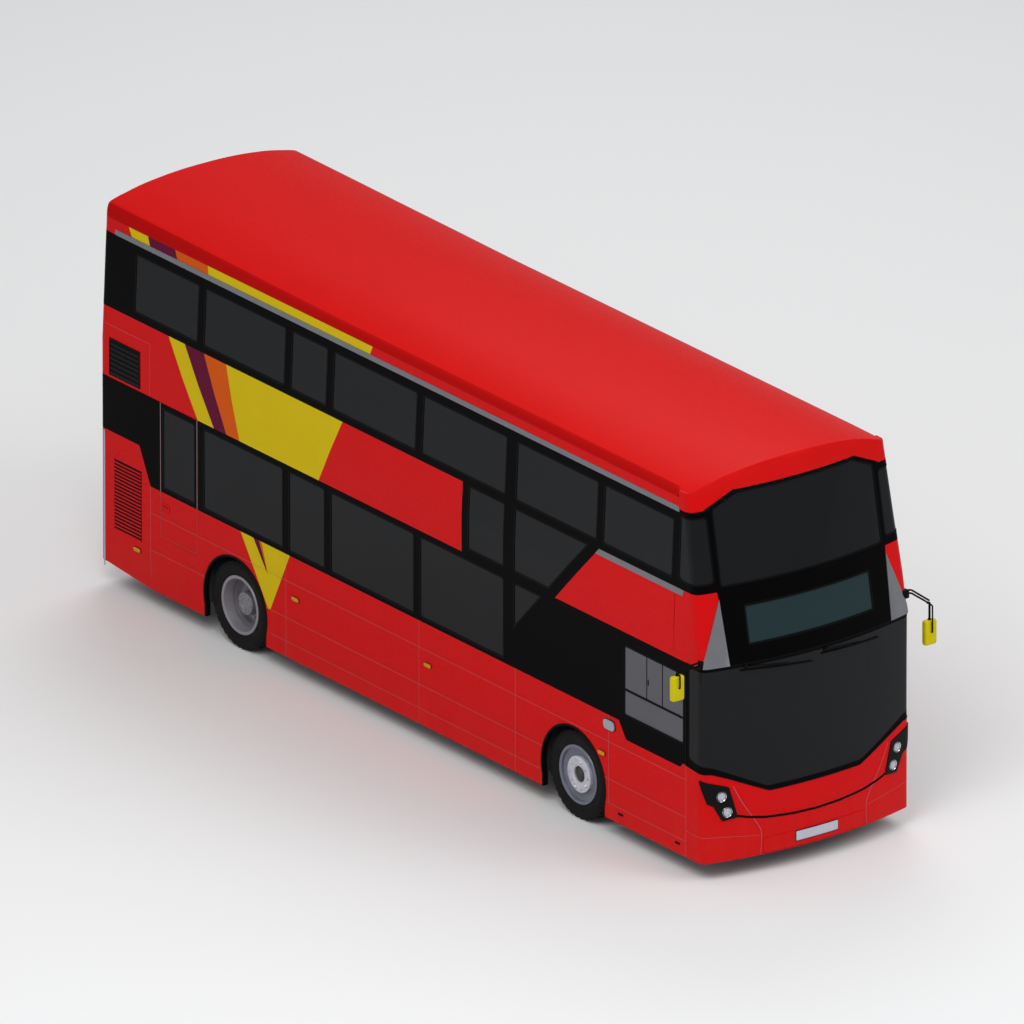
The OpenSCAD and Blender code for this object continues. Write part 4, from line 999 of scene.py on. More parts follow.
p = Part()
p.film([nose([("x", SEAM_F, SKIRT_Z)] + bumper_top)], skin, -WALL, 0.0, cuts_u=NOSE_CUTS)
p.film([fillet(nose([(0.625, SKIRT_Z + 0.02), (0.625, 0.372)]), 0.02)], skin, -0.01, 0.010,
       cuts_u=NOSE_CUTS)
bumper = p.make("bumper_skin", red_paint, "red_paint", bevel=0.003)
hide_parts("front_bumper")

p = Part()
top = nose(drop)
low = nose(bumper_top)
panel = top + low[::-1]
p.film([panel, lamp_left, flip(lamp_left)], skin, -WALL, 0.0, cuts_u=NOSE_CUTS)
front = p.make("front_skin", red_paint, "red_paint", bevel=0.0015)
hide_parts("front_panel")

# Upper nose: the shell with its openings, then glass, black surround and silver wings.
screen = nose([(0.986, 3.030), (0.986, 3.800), (0.708, 3.925)])
screen = fillet(screen, [0.035, 0.05, 0.06, 0.06, 0.05, 0.035])
pane = nose([("x", SEAM_U + 0.053, UP[0] + 0.01), (1.046, UP[0] + 0.01), (1.046, UP[1] + 0.06),
             ("x", SEAM_U + 0.043, UP[1] + 0.06)], mirror=False)
pane = fillet(pane, 0.045)
sign_box = fillet(nose([(0.762, 2.431), (0.762, 2.813)]), 0.014)
shell = nose([("x", SEAM_U, SPLIT_Z), ("x", SEAM_U, NOSE_TOP)])
p = Part()
p.film([shell, screen, pane, flip(pane), sign_box], skin, -WALL, 0.0, cuts_u=NOSE_CUTS, cuts_v=LEAN)
upper = p.make("upper_nose_skin", red_paint, "red_paint")
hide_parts("front_upper_panel")

p = Part()
p.film([grow(screen, -0.001)], skin, *PANE, cuts_u=NOSE_CUTS)
for loop in (pane, flip(pane)):
    p.film([grow(loop, -0.001)], skin, *PANE, cuts_u=NOSE_CUTS)
upper_glass = p.make("upper_screen_glass", window_glass, "window_glass")
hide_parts("upper_windscreen")

black = nose([(0.990, SPLIT_Z), (1.024, BAND_UP[0] - 0.07), (1.032, BAND_UP[0]), ("x", SEAM_U, BAND_UP[0]),
              ("x", SEAM_U, 3.790), (1.075, 3.795), (1.032, 3.822), (0.738, 3.958)])
p = Part()
p.film([black, screen, pane, flip(pane), sign_box], skin, *FILM, cuts_u=NOSE_CUTS, cuts_v=LEAN)
p.make("nose_black_film", black_paint, "black_paint")

wing = nose([(1.021, 2.913), (1.262, 2.264), (1.255, 2.252), (0.990, 2.252)], mirror=False)
p = Part()
for loop in (wing, flip(wing)):
    p.film([loop], skin, 0.0, 0.009, cuts_u=NOSE_CUTS, cuts_v=LEAN)
p.make("silver_wings", silver_trim, "black_paint", bevel=0.003)

p = Part()
rubber_ring(p, screen, skin, outer=0.006, inner=0.010, cuts=NOSE_CUTS)
for loop in (pane, flip(pane)):
    rubber_ring(p, loop, skin, outer=0.006, inner=0.010, cuts=NOSE_CUTS)
rubber_ring(p, sign_box, skin, outer=0.012, inner=0.008, depth=(-0.003, 0.004), cuts=NOSE_CUTS)
p.make("upper_screen_rubbers", rubber, "black_paint")

# Windscreen: one curved glass with a printed black border, and its rubber.
glass_top = SPLIT_Z - 0.001
screen_low = nose([("x", SEAM_F + 0.001, glass_top), ("x", SEAM_F + 0.001, 1.171), (1.178, 1.1395),
                   (1.0, 1.068), (0.555, 0.866)])
p = Part().film([screen_low], skin, *PANE, cuts_u=NOSE_CUTS)
windscreen = p.make("windscreen_glass", window_glass, "window_glass")
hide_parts("windscreen")
clear = nose([("x", SEAM_F + 0.05, glass_top - 0.035), ("x", SEAM_F + 0.05, 1.255), (1.178, 1.205),
              (1.0, 1.122), (0.575, 0.915)])
clear = fillet(clear, [0.03, 0.05, 0.1, 0.1, 0.08, 0.08, 0.1, 0.1, 0.05, 0.03], 4)
p = Part().film([screen_low, clear], skin, -GLASS_IN + 0.0002, -GLASS_IN + 0.0009, cuts_u=NOSE_CUTS)
p.make("windscreen_border", black_paint, "black_paint")
p = Part()
p.film([grow(screen_low, 0.006), grow(screen_low, -0.006)], skin, -0.003, 0.003, cuts_u=NOSE_CUTS)
p.make("windscreen_rubber", rubber, "black_paint")

# Black line from lamp to lamp, and the grey joints of the bumper, their pale grey a painted highlight.
p = Part()
moustache = [(0.905, 0.660), (0.80, 0.628), (0.60, 0.590), (0.30, 0.565), (0.0, 0.556)]
line = nose(moustache[:-1], mirror=False) + [(0.0, 0.556)]
line = line + [(-s, z) for s, z in reversed(line[:-1])]
p.film([band(line, 0.024)], skin, 0.0002, 0.003, cuts_u=NOSE_CUTS)
p.make("nose_line", black_paint, "black_paint", bevel=0.0008)
p = Part()
seams = [(0.95, 0.978), (0.86, 0.800), (0.725, 0.593), (0.668, 0.50), (0.645, 0.440), (0.642, 0.33),
         (0.655, SKIRT_Z + 0.004)]
smooth_seam = [(v.x, v.y) for v in curve([(s, z, 0) for s, z in nose(seams, mirror=False)], 4)]
for loop in (smooth_seam, flip(smooth_seam)):
    p.film([band(loop, 0.006)], skin, LIFT, 0.0012, cuts_u=NOSE_CUTS)
for sign in (1, -1):
    run = [(sign * s, z) for s, z in nose(bumper_top[:3] + [(0.66, 0.407)], mirror=False)]
    p.film([band(run, 0.0025)], skin, LIFT, 0.0010, cuts_u=NOSE_CUTS)
p.make("nose_joints", plastic("nose_joint_painted_highlight", srgb(150, 88, 94), 0.5), "red_paint")

# Number plates, left blank.
p = Part()
p.film([fillet(nose([(0.262, 0.262), (0.262, 0.374)]), 0.008)], skin, 0.009, 0.014, cuts_u=NOSE_CUTS)
p.make("plate_frame_front", rubber, "black_paint", bevel=0.001)
p = Part()
p.film([fillet(nose([(0.254, 0.270), (0.254, 0.366)]), 0.006)], skin, 0.0135, 0.0155, cuts_u=NOSE_CUTS)
p.make("plate_front", plate_white, "lamp_lens")


def on_nose(y, z, d=0.0):
    """Matrix at a point of the nose, its Z axis pointing straight out."""
    s = s_of_y(y, z)
    a, b, c = skin(s, z, d), skin(s + 0.001, z, d), skin(s, z + 0.001, d)
    out = (b - a).cross(c - a).normalized()
    return facing(a, out if out.x > 0 else -out)


# Headlamps: black units with two round lamps each.
unit, bezel, lens, bowl = Part(), Part(), Part(), Part()
for sign in (1, -1):
    loop = lamp_left if sign > 0 else flip(lamp_left)
    unit.film([grow(loop, -0.0015)], skin, -0.045, 0.012, cuts_u=NOSE_CUTS)
    for y, z in ((1.077, 0.890), (1.017, 0.720)):
        m = on_nose(sign * y, z, 0.004)
        bezel.lathe([(0.046, 0.0), (0.052, 0.0), (0.054, 0.006), (0.051, 0.011), (0.047, 0.008),
                     (0.044, 0.001)], m, n=48, closed=True)
        lens.lathe([(0.0, 0.0155), (0.012, 0.015), (0.024, 0.0135), (0.036, 0.0105), (0.044, 0.006),
                    (0.0465, 0.0015), (0.046, 0.0005), (0.0, 0.0005)], m, n=48)
        bowl.lathe([(0.0, 0.0175), (0.006, 0.017), (0.009, 0.0155), (0.0, 0.0145)], m, n=20)
unit_obj = unit.make("headlamp_units", black_plastic, "lamp_lens", bevel=0.0025)
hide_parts("lamps")
bezel.make("headlamp_bezels", chrome, "lamp_lens")
lens.make("headlamp_lenses", headlamp_glass, "lamp_lens")
bowl.make("headlamp_centres", chrome, "lamp_lens")

# Wipers, parked along the top of the glass.
p = Part()
for y0, z0, y1, z1 in ((-0.88, 2.19, -0.063, 2.12), (0.05, 2.17, 0.805, 2.14)):
    pivot = (y0 + 0.06 if y0 < 0 else y0 + 0.05, z0 + 0.03)
    m = on_nose(*pivot, 0.0)
    p.lathe([(0.0, 0.0), (0.022, 0.0), (0.022, 0.012), (0.014, 0.018), (0.0, 0.018)], m, n=24)
    climb = (z0 + z1) / 2 - pivot[1]
    arm = [(pivot[0] + (y1 - y0) * k * 0.6, pivot[1] + climb * k) for k in (0, 0.3, 0.7, 1)]
    p.tube([skin(s_of_y(y, z), z, 0.014) for y, z in arm], 0.0055, 8)
    blade = [(y0 + (y1 - y0) * k / 10, z0 + (z1 - z0) * k / 10) for k in range(11)]
    p.tube([skin(s_of_y(y, z), z, 0.010) for y, z in blade], 0.006, 6)
    p.tube([skin(s_of_y(y, z - 0.008), z - 0.008, 0.003) for y, z in blade], 0.003, 6)
p.make("wipers", rubber, "black_paint")

# ---- Tyres and wheels ------------------------------------------------------------


def wheel_frame(node_y, x, sign):
    """Matrix of a wheel with its Z axis pointing outwards."""
    return facing((x, sign * node_y, HUB_Z), (0, sign, 0))


RIM = 0.286  # radius of the bead seats, where tyre and rim meet


def tyre_solid(part, at, tread, n=216):
    """Tyre with moulded sidewalls, shoulder lugs, and grooves round the tread."""
    w, r = TYRE_HALF, TYRE_R
    wall = [(RIM + 0.0004, -0.1045), (RIM + 0.020, -0.1046), (RIM + 0.026, -0.109), (RIM + 0.034, -0.1135),
            (RIM + 0.040, -0.1165), (RIM + 0.044, -0.1150), (RIM + 0.060, -0.1205), (RIM + 0.066, -0.1222),
            (RIM + 0.070, -0.1208), (RIM + 0.092, -w + 0.0006), (RIM + 0.108, -w),
            (RIM + 0.122, -w + 0.0008), (RIM + 0.126, -w + 0.0028), (RIM + 0.130, -w + 0.0012),
            (RIM + 0.142, -w + 0.0075)]
    tread_rows = [(r - 0.022, -w + 0.010), (r - 0.009, -w + 0.017), (r - 0.003, -w + 0.025)]
    grooves, half = [0.074, 0.030], 0.005
    for g in grooves:
        tread_rows += [(r - 0.0005, -g - half), (r - tread, -g - half + 0.0015),
                       (r - tread, -g + half - 0.0015), (r - 0.0002, -g + half)]
    rows = wall + tread_rows
    rows = rows + [(a, -b) for a, b in reversed(rows)]

    def wave(a, h, k):
        rim_side = abs(h) > w - 0.055 and a > r - 0.026
        if rim_side and k % 6 < 2:
            return a - min(0.010, (a - (r - 0.032)) * 0.6), h - math.copysign(0.0012, h)
        if a > r - 0.001 and k % 3 == 0 and abs(h) < 0.074:
            return a - 0.0035, h
        return a, h

    part.lathe(rows, at, n=n, closed=True, wave=wave)


TWIN_HALF = 0.15
TWINS = (abs(TWIN_Y) - TWIN_HALF, abs(TWIN_Y) + TWIN_HALF)
WHEELS = [("front_right", AXLE_F, -1, (abs(WHEEL_Y),)), ("front_left", AXLE_F, 1, (abs(WHEEL_Y),)),
          ("rear_right", AXLE_R, -1, TWINS), ("rear_left", AXLE_R, 1, TWINS)]


# Half of the rim's section: height over the bead seat, distance from the middle.
FLANGE = [(0.0, 0.1045), (0.012, 0.1045), (0.0185, 0.106), (0.020, 0.1105), (0.017, 0.1148), (0.004, 0.115),
          (-0.012, 0.1125), (-0.016, 0.104), (-0.017, 0.04), (-0.026, 0.02)]


def barrel(part, at, y):
    """Rim barrel about the tyre's middle plane at height y of matrix at."""
    part.lathe([(RIM + r, y - h) for r, h in FLANGE] + [(RIM + r, y + h) for r, h in reversed(FLANGE)], at,
               n=96, closed=True)


def ring_of(part, at, count, radius, height, shape, n=6, start=0.0):
    """Equal turned pieces in a ring, such as wheel nuts."""
    for k in range(count):
        a = start + 2 * math.pi * k / count
        m = at @ Matrix.Translation(polar(radius, a, height)) @ Matrix.Rotation(a, 4, "Z")
        part.lathe(shape, m, n=n)


NUT = [(0.0, 0.0), (0.019, 0.0), (0.019, 0.003), (0.0155, 0.004), (0.0155, 0.020), (0.0125, 0.024),
       (0.008, 0.024), (0.008, 0.032), (0.0, 0.034)]


def front_wheel(name, at):
    """Front rim with its hub ring, cap, nuts and brake drum."""
    body = f"wheel_{name}"
    p = Part()
    barrel(p, at, 0.0)
    p.lathe([(RIM - 0.0165, 0.085), (RIM - 0.030, 0.080), (0.240, 0.069), (0.215, 0.064), (0.198, 0.066),
             (0.190, 0.072), (0.188, 0.062), (0.205, 0.054), (0.245, 0.058), (RIM - 0.020, 0.072)], at,
            n=96, closed=True)
    ring_of(p, at, 1, RIM - 0.012, 0.112, [(0.0, 0.0), (0.0045, 0.0), (0.004, 0.016), (0.0, 0.018)], n=10,
            start=0.7)
    rim = p.make(f"{name}_rim", dish_paint, "wheel_steel", body=body)
    p = Part()
    p.lathe([(0.188, 0.064), (0.1885, 0.098), (0.1865, 0.1025), (0.182, 0.1045), (0.112, 0.1045),
             (0.104, 0.1035), (0.098, 0.1005), (0.090, 0.0995), (0.0835, 0.0965), (0.082, 0.080),
             (0.082, 0.064)], at, n=96, closed=True)
    ring_of(p, at, 10, 0.148, 0.1045, [(0.0, 0.0), (0.0175, 0.0), (0.0175, 0.0022), (0.0135, 0.0032),
                                       (0.0135, 0.0135), (0.011, 0.0165), (0.0065, 0.0165),
                                       (0.0065, 0.0195), (0.0, 0.0205)], n=6)
    p.make(f"{name}_hub_ring", ring_paint, "wheel_steel", bevel=0.0008, body=body)
    p = Part()
    p.lathe([(0.0815, 0.066), (0.0815, 0.080), (0.074, 0.084), (0.060, 0.086), (0.056, 0.094),
             (0.050, 0.0985), (0.020, 0.101), (0.0, 0.1012), (0.0, 0.066)], at, n=48)
    ring_of(p, at, 6, 0.068, 0.084, [(0.0, 0.0), (0.0055, 0.0), (0.0055, 0.004), (0.0, 0.005)], n=6)
    p.make(f"{name}_hub_cap", steel_dark, "wheel_steel", body=body)
    p = Part()
    p.lathe([(0.0445, 0.060), (0.110, 0.060), (0.110, 0.0), (0.045, 0.0)], at, n=48, closed=True)
    p.lathe([(0.200, -0.058), (0.205, -0.060), (0.205, 0.040), (0.195, 0.052), (0.112, 0.058),
             (0.112, 0.050), (0.190, 0.044), (0.197, 0.036), (0.197, -0.058)], at, n=72, closed=True)
    p.make(f"{name}_drum", iron, "wheel_steel", body=body)
    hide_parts(f"{name}_wheel")


def rear_wheel(name, at):
    """Twin rims with their dish, nuts and hub."""
    body = f"wheel_{name}"
    p = Part()
    for y in (-TWIN_HALF, TWIN_HALF):
        barrel(p, at, y)
    # Deep outer dish down to the bolted face, and its inner twin.
    p.lathe([(RIM - 0.0255, 0.135), (RIM - 0.034, 0.110), (0.246, 0.075), (0.232, 0.050), (0.215, 0.040),
             (0.165, 0.040), (0.165, 0.028), (0.222, 0.028), (0.245, 0.050), (0.262, 0.090),
             (RIM - 0.016, 0.128)], at, n=96, closed=True)
    p.lathe([(RIM - 0.002, 0.0135), (0.165, 0.0135), (0.165, -0.0135), (RIM - 0.002, -0.0135)], at, n=96,
            closed=True)
    rim = p.make(f"{name}_rim", twin_paint, "wheel_steel", body=body)
    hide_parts(f"{name}_wheel")
    p = Part()
    ring_of(p, at, 10, 0.190, 0.040, NUT, start=0.1)
    p.make(f"{name}_nuts", ring_paint, "wheel_steel", body=body)
    p = Part()
    p.lathe([(0.0, 0.020), (0.164, 0.020), (0.164, 0.041), (0.158, 0.046), (0.132, 0.050), (0.126, 0.058),
             (0.124, 0.118), (0.120, 0.126), (0.119, 0.188), (0.114, 0.197), (0.104, 0.2), (0.060, 0.2),
             (0.056, 0.194), (0.0, 0.194)], at, n=72)
    ring_of(p, at, 8, 0.092, 0.199, [(0.0, 0.0), (0.008, 0.0), (0.008, 0.006), (0.006, 0.0085),
                                     (0.0, 0.0085)], n=6)
    p.make(f"{name}_hub", rim_paint, "wheel_steel", bevel=0.0008, body=body)


for name, x, sign, planes in WHEELS:
    body = f"wheel_{name}"
    hub_y = planes[0] if len(planes) == 1 else abs(TWIN_Y)
    at = wheel_frame(hub_y, x, sign)
    p = Part()
    for y in planes:
        tyre_solid(p, at @ Matrix.Translation((0, 0, y - hub_y)), 0.013)
    tyre = p.make(f"{name}_tyre_tread", tyre_mat, "tyre_rubber", angle=40, body=body)
    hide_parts(f"{name}_tyre")
    (front_wheel if len(planes) == 1 else rear_wheel)(name, at)

# ---- Mirrors ---------------------------------------------------------------------


def rounded_box(part, lo, hi, r, n=5):
    """Box with generously rounded edges, drawn as a stack of rounded outlines along x."""
    x0, x1 = lo[0], hi[0]
    rows = []
    for k in range(n + 1):
        t = math.pi / 2 * k / n
        rows.append((x0 + r * (1 - math.sin(t)), -r * (1 - math.cos(t))))
    rows = rows[::-1] + [(x1 - (x - x0), g) for x, g in rows]
    base = rect(lo[1], hi[1], lo[2], hi[2], r, n=5)
    verts, faces, m = [], [], len(base)
    for x, g in rows:
        ring = grow(base, g) if g < -1e-6 else base
        for q in ring:
            verts.append(Vector((x, q[0], q[1])))
    for i in range(len(rows) - 1):
        faces += [[i * m + k, i * m + (k + 1) % m, (i + 1) * m + (k + 1) % m, (i + 1) * m + k]
                  for k in range(m)]
    faces += [list(range(m)), list(range((len(rows) - 1) * m, len(rows) * m))]
    part.add(verts, faces)


REACH = HALF_W + 0.275  # middle of the mirror heads
arms, heads, glasses, rims = Part(), Part(), Part(), Part()
MIRROR_Z = {LEFT: 1.96, RIGHT: 2.12}
for sign, z in MIRROR_Z.items():
    x, y = NOSE_X - 0.22, sign * REACH
    root, tip = (2.43, 2.262) if sign > 0 else (2.285, 2.275)
    for dz in (0.0, 0.034):
        arms.tube(elbow([(x, sign * (HALF_W - 0.03), root + dz), (x, sign * (HALF_W + 0.04), root + dz),
                         (x, y - sign * 0.004, tip + dz * 0.9)], 0.03), 0.0095, 10)
    drop_rod = [(x, y - sign * 0.03, tip + 0.012), (x, y, tip + 0.006), (x, y, z + 0.12)]
    arms.tube(elbow(drop_rod, 0.02), 0.012, 12)
    arms.tube(elbow([(x, y, tip - 0.004), (x + 0.048, y, tip - 0.012), (x + 0.048, y, z + 0.01),
                     (x + 0.030, y, z + 0.01)], 0.015), 0.008, 10)
    rounded_box(arms, (x - 0.034, sign * 1.235 - 0.045, root - 0.038),
                (x + 0.034, sign * 1.235 + 0.045, root + 0.050), 0.012)
    arms.tube([(x - 0.001, y, z + 0.122), (x - 0.001, y, z + 0.138)], 0.019, 14)
    rounded_box(heads, (x - 0.035, y - 0.072, z - 0.13), (x + 0.035, y + 0.072, z + 0.13), 0.022)
    rims.film([rect(y - 0.060, y + 0.060, z - 0.118, z + 0.118, 0.018),
               rect(y - 0.056, y + 0.056, z - 0.114, z + 0.114, 0.015)], across_x, x - 0.0365, x - 0.030)
    glasses.film([rect(y - 0.056, y + 0.056, z - 0.052, z + 0.114, 0.012)], across_x, x - 0.0358, x - 0.033)
    glasses.film([rect(y - 0.056, y + 0.056, z - 0.114, z - 0.058, 0.012)], across_x, x - 0.0358, x - 0.033)
head = heads.make("mirror_heads", mirror_yellow, "mirror_paint")
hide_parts("mirrors")
arms.make("mirror_arms", rubber, "black_paint")
rims.make("mirror_rims", rubber, "black_paint")
glasses.make("mirror_glasses", mirror_glass, "window_glass")

# ---- Roof ------------------------------------------------------------------------

EDGE_Z = 3.948  # foot of the sloping roof edge


def soft_min(a, b, k):
    """Smaller of two heights, blended where they come within k."""
    h = max(k - abs(a - b), 0.0) / k
    return min(a, b) - h * h * k / 4


def roof_height(x, y, rear, front):
    """Arched roof with a sloping edge, cut off by the raked front and the upright tail."""
    reach = half_width(EDGE_Z)
    out = min(1.3, abs(y) / 1.15)
    fall = 0.142 + 0.04 * min(1.0, max(0.0, (x - TAIL_X) / 3.5))
    nearly = max(0.0, 1 - (front - x) / 0.5)
    arch = TOP_Z - fall * out ** 2.4 - 0.010 * nearly ** 2 * out ** 4
    edge = EDGE_Z + 0.004 + (reach - abs(y)) * 1.62
    z = soft_min(arch, edge, 0.022)
    z = soft_min(z, EDGE_Z + 0.002 + (front - x) / 0.10, 0.045)
    return max(EDGE_Z, soft_min(z, EDGE_Z + 0.002 + (x - rear) * 9.0, 0.04))


def roof_ends(y, z):
    """Where the roof starts at the tail and ends at the nose, at y."""
    fx, fy, turn, face = nose_corner(z)
    a = abs(y)
    if a <= BOW_R * math.sin(turn):
        front = face - BOW_R + math.sqrt(BOW_R ** 2 - a * a)
    else:
        front = fx + math.sqrt(max(0.0, NOSE_R ** 2 - (a - fy) ** 2))
    past = a - half_width(z) + TAIL_R
    rear = TAIL_X + (TAIL_R - math.sqrt(max(0.0, TAIL_R ** 2 - past ** 2)) if past > 0 else 0.0)
    return rear, front


def roof_mesh(part):
    """Roof skin with its thickness, and a skirt down to the side walls."""
    across = [math.sin(math.pi / 2 * math.sin(math.pi / 2 * (-1 + k / 30))) for k in range(61)]
    along = [0, 0.0003, 0.0007, 0.0012, 0.0018, 0.0025, 0.0033, 0.0043, 0.0056, 0.0075, 0.011, 0.02]
    along = along + [0.02 + 0.96 * k / 36 for k in range(1, 36)] + [1 - a for a in reversed(along)]
    rows, m = len(along), len(across)
    layers = []
    for inset in (0.0, 0.035):
        verts = []
        for u in along:
            for v in across:
                y = v * half_width(EDGE_Z)
                rear, front = roof_ends(y, EDGE_Z)
                x = rear + u * (front - rear)
                z = roof_height(x, y, rear, front)
                k = 1 - inset / half_width(EDGE_Z)
                verts.append(Vector((x * k if inset else x, y * k, max(EDGE_Z, z - inset))))
        layers.append(verts)
    rim = border(rows, m)
    skirt = []
    for j in rim:
        u, v = along[j // m], across[j % m]
        y = v * half_width(CANT_Z)
        rear, front = roof_ends(y, CANT_Z)
        x = rear + u * (front - rear)
        skirt.append(Vector((x, y, CANT_Z + 0.0005)) if x < SEAM_U - 0.002
                     else layers[0][j] - Vector((0, 0, 0.002)))
    inner = [Vector((p.x * 0.993, p.y * 0.97, p.z)) for p in skirt]
    count, ring = rows * m, len(rim)
    faces = []
    for i in range(rows - 1):
        for k in range(m - 1):
            q = [i * m + k, i * m + k + 1, (i + 1) * m + k + 1, (i + 1) * m + k]
            faces += [q, [count + j for j in reversed(q)]]
    for a in range(ring):
        b = (a + 1) % ring
        o, i = 2 * count + a, 2 * count + b
        faces += [[rim[a], rim[b], i, o], [o, i, i + ring, o + ring],
                  [o + ring, i + ring, count + rim[b], count + rim[a]]]
    part.add(layers[0] + layers[1] + skirt + inner, faces)


p = Part()
roof_mesh(p)
roof = p.make("roof_skin", [roof_paint, painted_shade_edge], "roof_paint", angle=40)
# The sloping roof edge takes the darker red, as painted shade.
for face in roof.data.polygons:
    if abs(face.center.y) > 1.152 and face.center.x < SEAM_U - 0.01:
        face.material_index = 1
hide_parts("roof")

# ---- Rear end --------------------------------------------------------------------

# Louvres of the engine cover; the black sheet behind their slats is painted shade.
slats, dark = Part(), Part()
louvre_field(dark, slats, tail, -0.70, -0.08, 1.16, 1.42, 8, proud=0.008)
louvre_field(dark, slats, tail, 0.08, 0.70, 1.16, 1.42, 8, proud=0.008)
louvre_field(dark, slats, tail, -0.70, 0.70, 0.56, 0.80, 7, proud=0.008)
slats.make("cover_louvres", red_paint, "red_paint", bevel=0.001, body="engine_cover")
dark.make("cover_louvre_painted_shade", rubber, "black_paint", body="engine_cover")
p = Part()
p.film([rect(-0.12, 0.12, 0.875, 0.925, 0.02)], tail, LIFT, 0.006)
p.tube(elbow([(TAIL_X + 0.002, -0.085, 0.90), (TAIL_X - 0.008, -0.085, 0.90), (TAIL_X - 0.008, 0.085, 0.90),
              (TAIL_X + 0.002, 0.085, 0.90)], 0.01), 0.006, 10)
p.make("cover_handle", black_plastic, "black_paint", bevel=0.001, body="engine_cover")

# Rear grille; the black sheet behind its slats is painted shade.
p, slats, dark = Part(), Part(), Part()
louvre_field(dark, slats, tail, -0.62, 0.62, 1.76, 2.16, 11, proud=0.007, share=0.45)
slats.make("rear_grille_slats", black_plastic, "black_paint", bevel=0.001)
dark.make("rear_grille_painted_shade", rubber, "black_paint")
p.film([rect(-0.43, 0.43, 2.42, 2.74, 0.02)], tail, 0.0005, 0.0065)
p.make("rear_display_frame", rubber, "black_paint", bevel=0.002)
p = Part().film([rect(-0.40, 0.40, 2.45, 2.71, 0.008)], tail, 0.0060, 0.0078)
p.make("rear_display_glass", display_glass, "display_glass")
p = Part()
for sign in (RIGHT, LEFT):
    p.film([rect(TAIL_END, -5.04, SKIRT_Z + 0.07, 0.44)], side(sign), 0.0002, 0.006, cuts_u=TAIL_CUTS)
p.film([rect(-TAIL_FLAT, TAIL_FLAT, SKIRT_Z + 0.07, 0.44)], tail, 0.0002, 0.006)
p.make("rear_bumper_strip", black_plastic, "black_paint", bevel=0.002)
p = Part().film([rect(-0.264, 0.264, 0.300, 0.416, 0.008)], tail, 0.006, 0.0085)
p.make("plate_frame_rear", rubber, "black_paint", bevel=0.001)
p = Part().film([rect(-0.256, 0.256, 0.308, 0.408, 0.006)], tail, 0.0083, 0.0098)
p.make("plate_rear", plate_yellow, "lamp_lens")
# Pale lines at the joints of the tail panels: painted highlight.
p = Part()
for z in (2.25, *BAND_UP):
    p.film([rect(-1.15, 1.15, z - 0.002, z + 0.002)], tail, 0.0012, 0.0016)
for y in (-1.0, 1.0):
    p.film([rect(y - 0.002, y + 0.002, 2.26, 2.98)], tail, 0.0004, 0.0012)
p.make("rear_joint_painted_highlights", joint_painted_highlight, "red_paint")
p = Part()
for sign in (RIGHT, LEFT):
    p.film([rect(-4.972, -4.948, SKIRT_Z + 0.01, 1.655)], side(sign), LIFT, 0.0018, cuts_u=TAIL_CUTS)
p.make("rear_edge_strips", plastic("edge_strip", srgb(150, 168, 180), 0.3), "lamp_lens")

backs, reds, ambers, whites, rings = Part(), Part(), Part(), Part(), Part()
LENS = [(0.0, 0.0125), (0.018, 0.012), (0.036, 0.0105), (0.048, 0.0075), (0.0535, 0.003), (0.0535, 0.0),
        (0.0, 0.0)]
for sign in (1, -1):
    y = sign * 1.08
    backs.film([rect(y - 0.0795, y + 0.0795, 0.801, 1.559, 0.02)], tail, -0.04, 0.004)
    for z, part in ((0.885, whites), (1.055, reds), (1.225, ambers), (1.395, reds)):
        at = facing((TAIL_X - 0.0035, y, z), (-1, 0, 0))
        part.lathe([(r, h * 0.5) for r, h in LENS], at, n=48)
        rings.lathe([(0.0535, 0.0), (0.060, 0.0), (0.060, 0.004), (0.056, 0.0065), (0.0535, 0.004)], at,
                    n=48, closed=True)
    at = facing((TAIL_X - 0.0035, y, 1.502), (-1, 0, 0))
    reds.lathe([(r * 0.5, h * 0.35) for r, h in LENS], at, n=32)
reds.film([rect(-0.17, 0.17, 3.705, 3.735, 0.012)], tail, 0.0008, 0.0085)
unit = backs.make("rear_lamp_units", black_plastic, "lamp_lens", bevel=0.002)
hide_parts("lamps")
reds.make("rear_lenses_red", red_lens, "lamp_lens")
ambers.make("rear_lenses_amber", amber_lens, "lamp_lens")
whites.make("rear_lenses_white", white_lens, "lamp_lens")
rings.make("rear_lamp_rings", chrome, "lamp_lens")

# ---- Emergency door --------------------------------------------------------------

EX0, EX1 = EXIT_X0 + 0.006, EXIT_X1 - 0.008
EZ0, EZ1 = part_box("emergency_door")[0].z + 0.018, SPLIT_Z - 0.006
right = side(RIGHT)
p = Part().film([rect(EX0, EX1, EZ0, EZ1, 0.006), exit_window], right, -0.044, 0.0)
p.tube([(EXIT_X1 - 0.018, -HALF_W + 0.012, z) for z in (EZ0 - 0.018, EZ1)], 0.008, 14)
leaf = p.make("emergency_door_leaf", red_paint, "red_paint", bevel=0.0015, body="emergency_door")
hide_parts("emergency_door")
p = Part().film([grow(exit_window, -0.001)], right, *PANE)
p.make("emergency_door_glass", window_glass, "window_glass", body="emergency_door")
p = Part().film([rect(EX0, EX1, BAND_LOW, EZ1), exit_window], right, *FILM)
p.make("emergency_door_band", black_paint, "black_paint", body="emergency_door")
p = Part()
rubber_ring(p, exit_window, right)
p.make("emergency_door_rubber", rubber, "black_paint", bevel=0.001, body="emergency_door")
p = Part()
pocket = rect(EX0 + 0.042, EX0 + 0.138, 1.102, 1.178, 0.014)
p.film([rect(EX0 + 0.03, EX0 + 0.15, 1.09, 1.19, 0.02), pocket], right, LIFT, 0.005)
p.film([pocket], right, LIFT, 0.001)
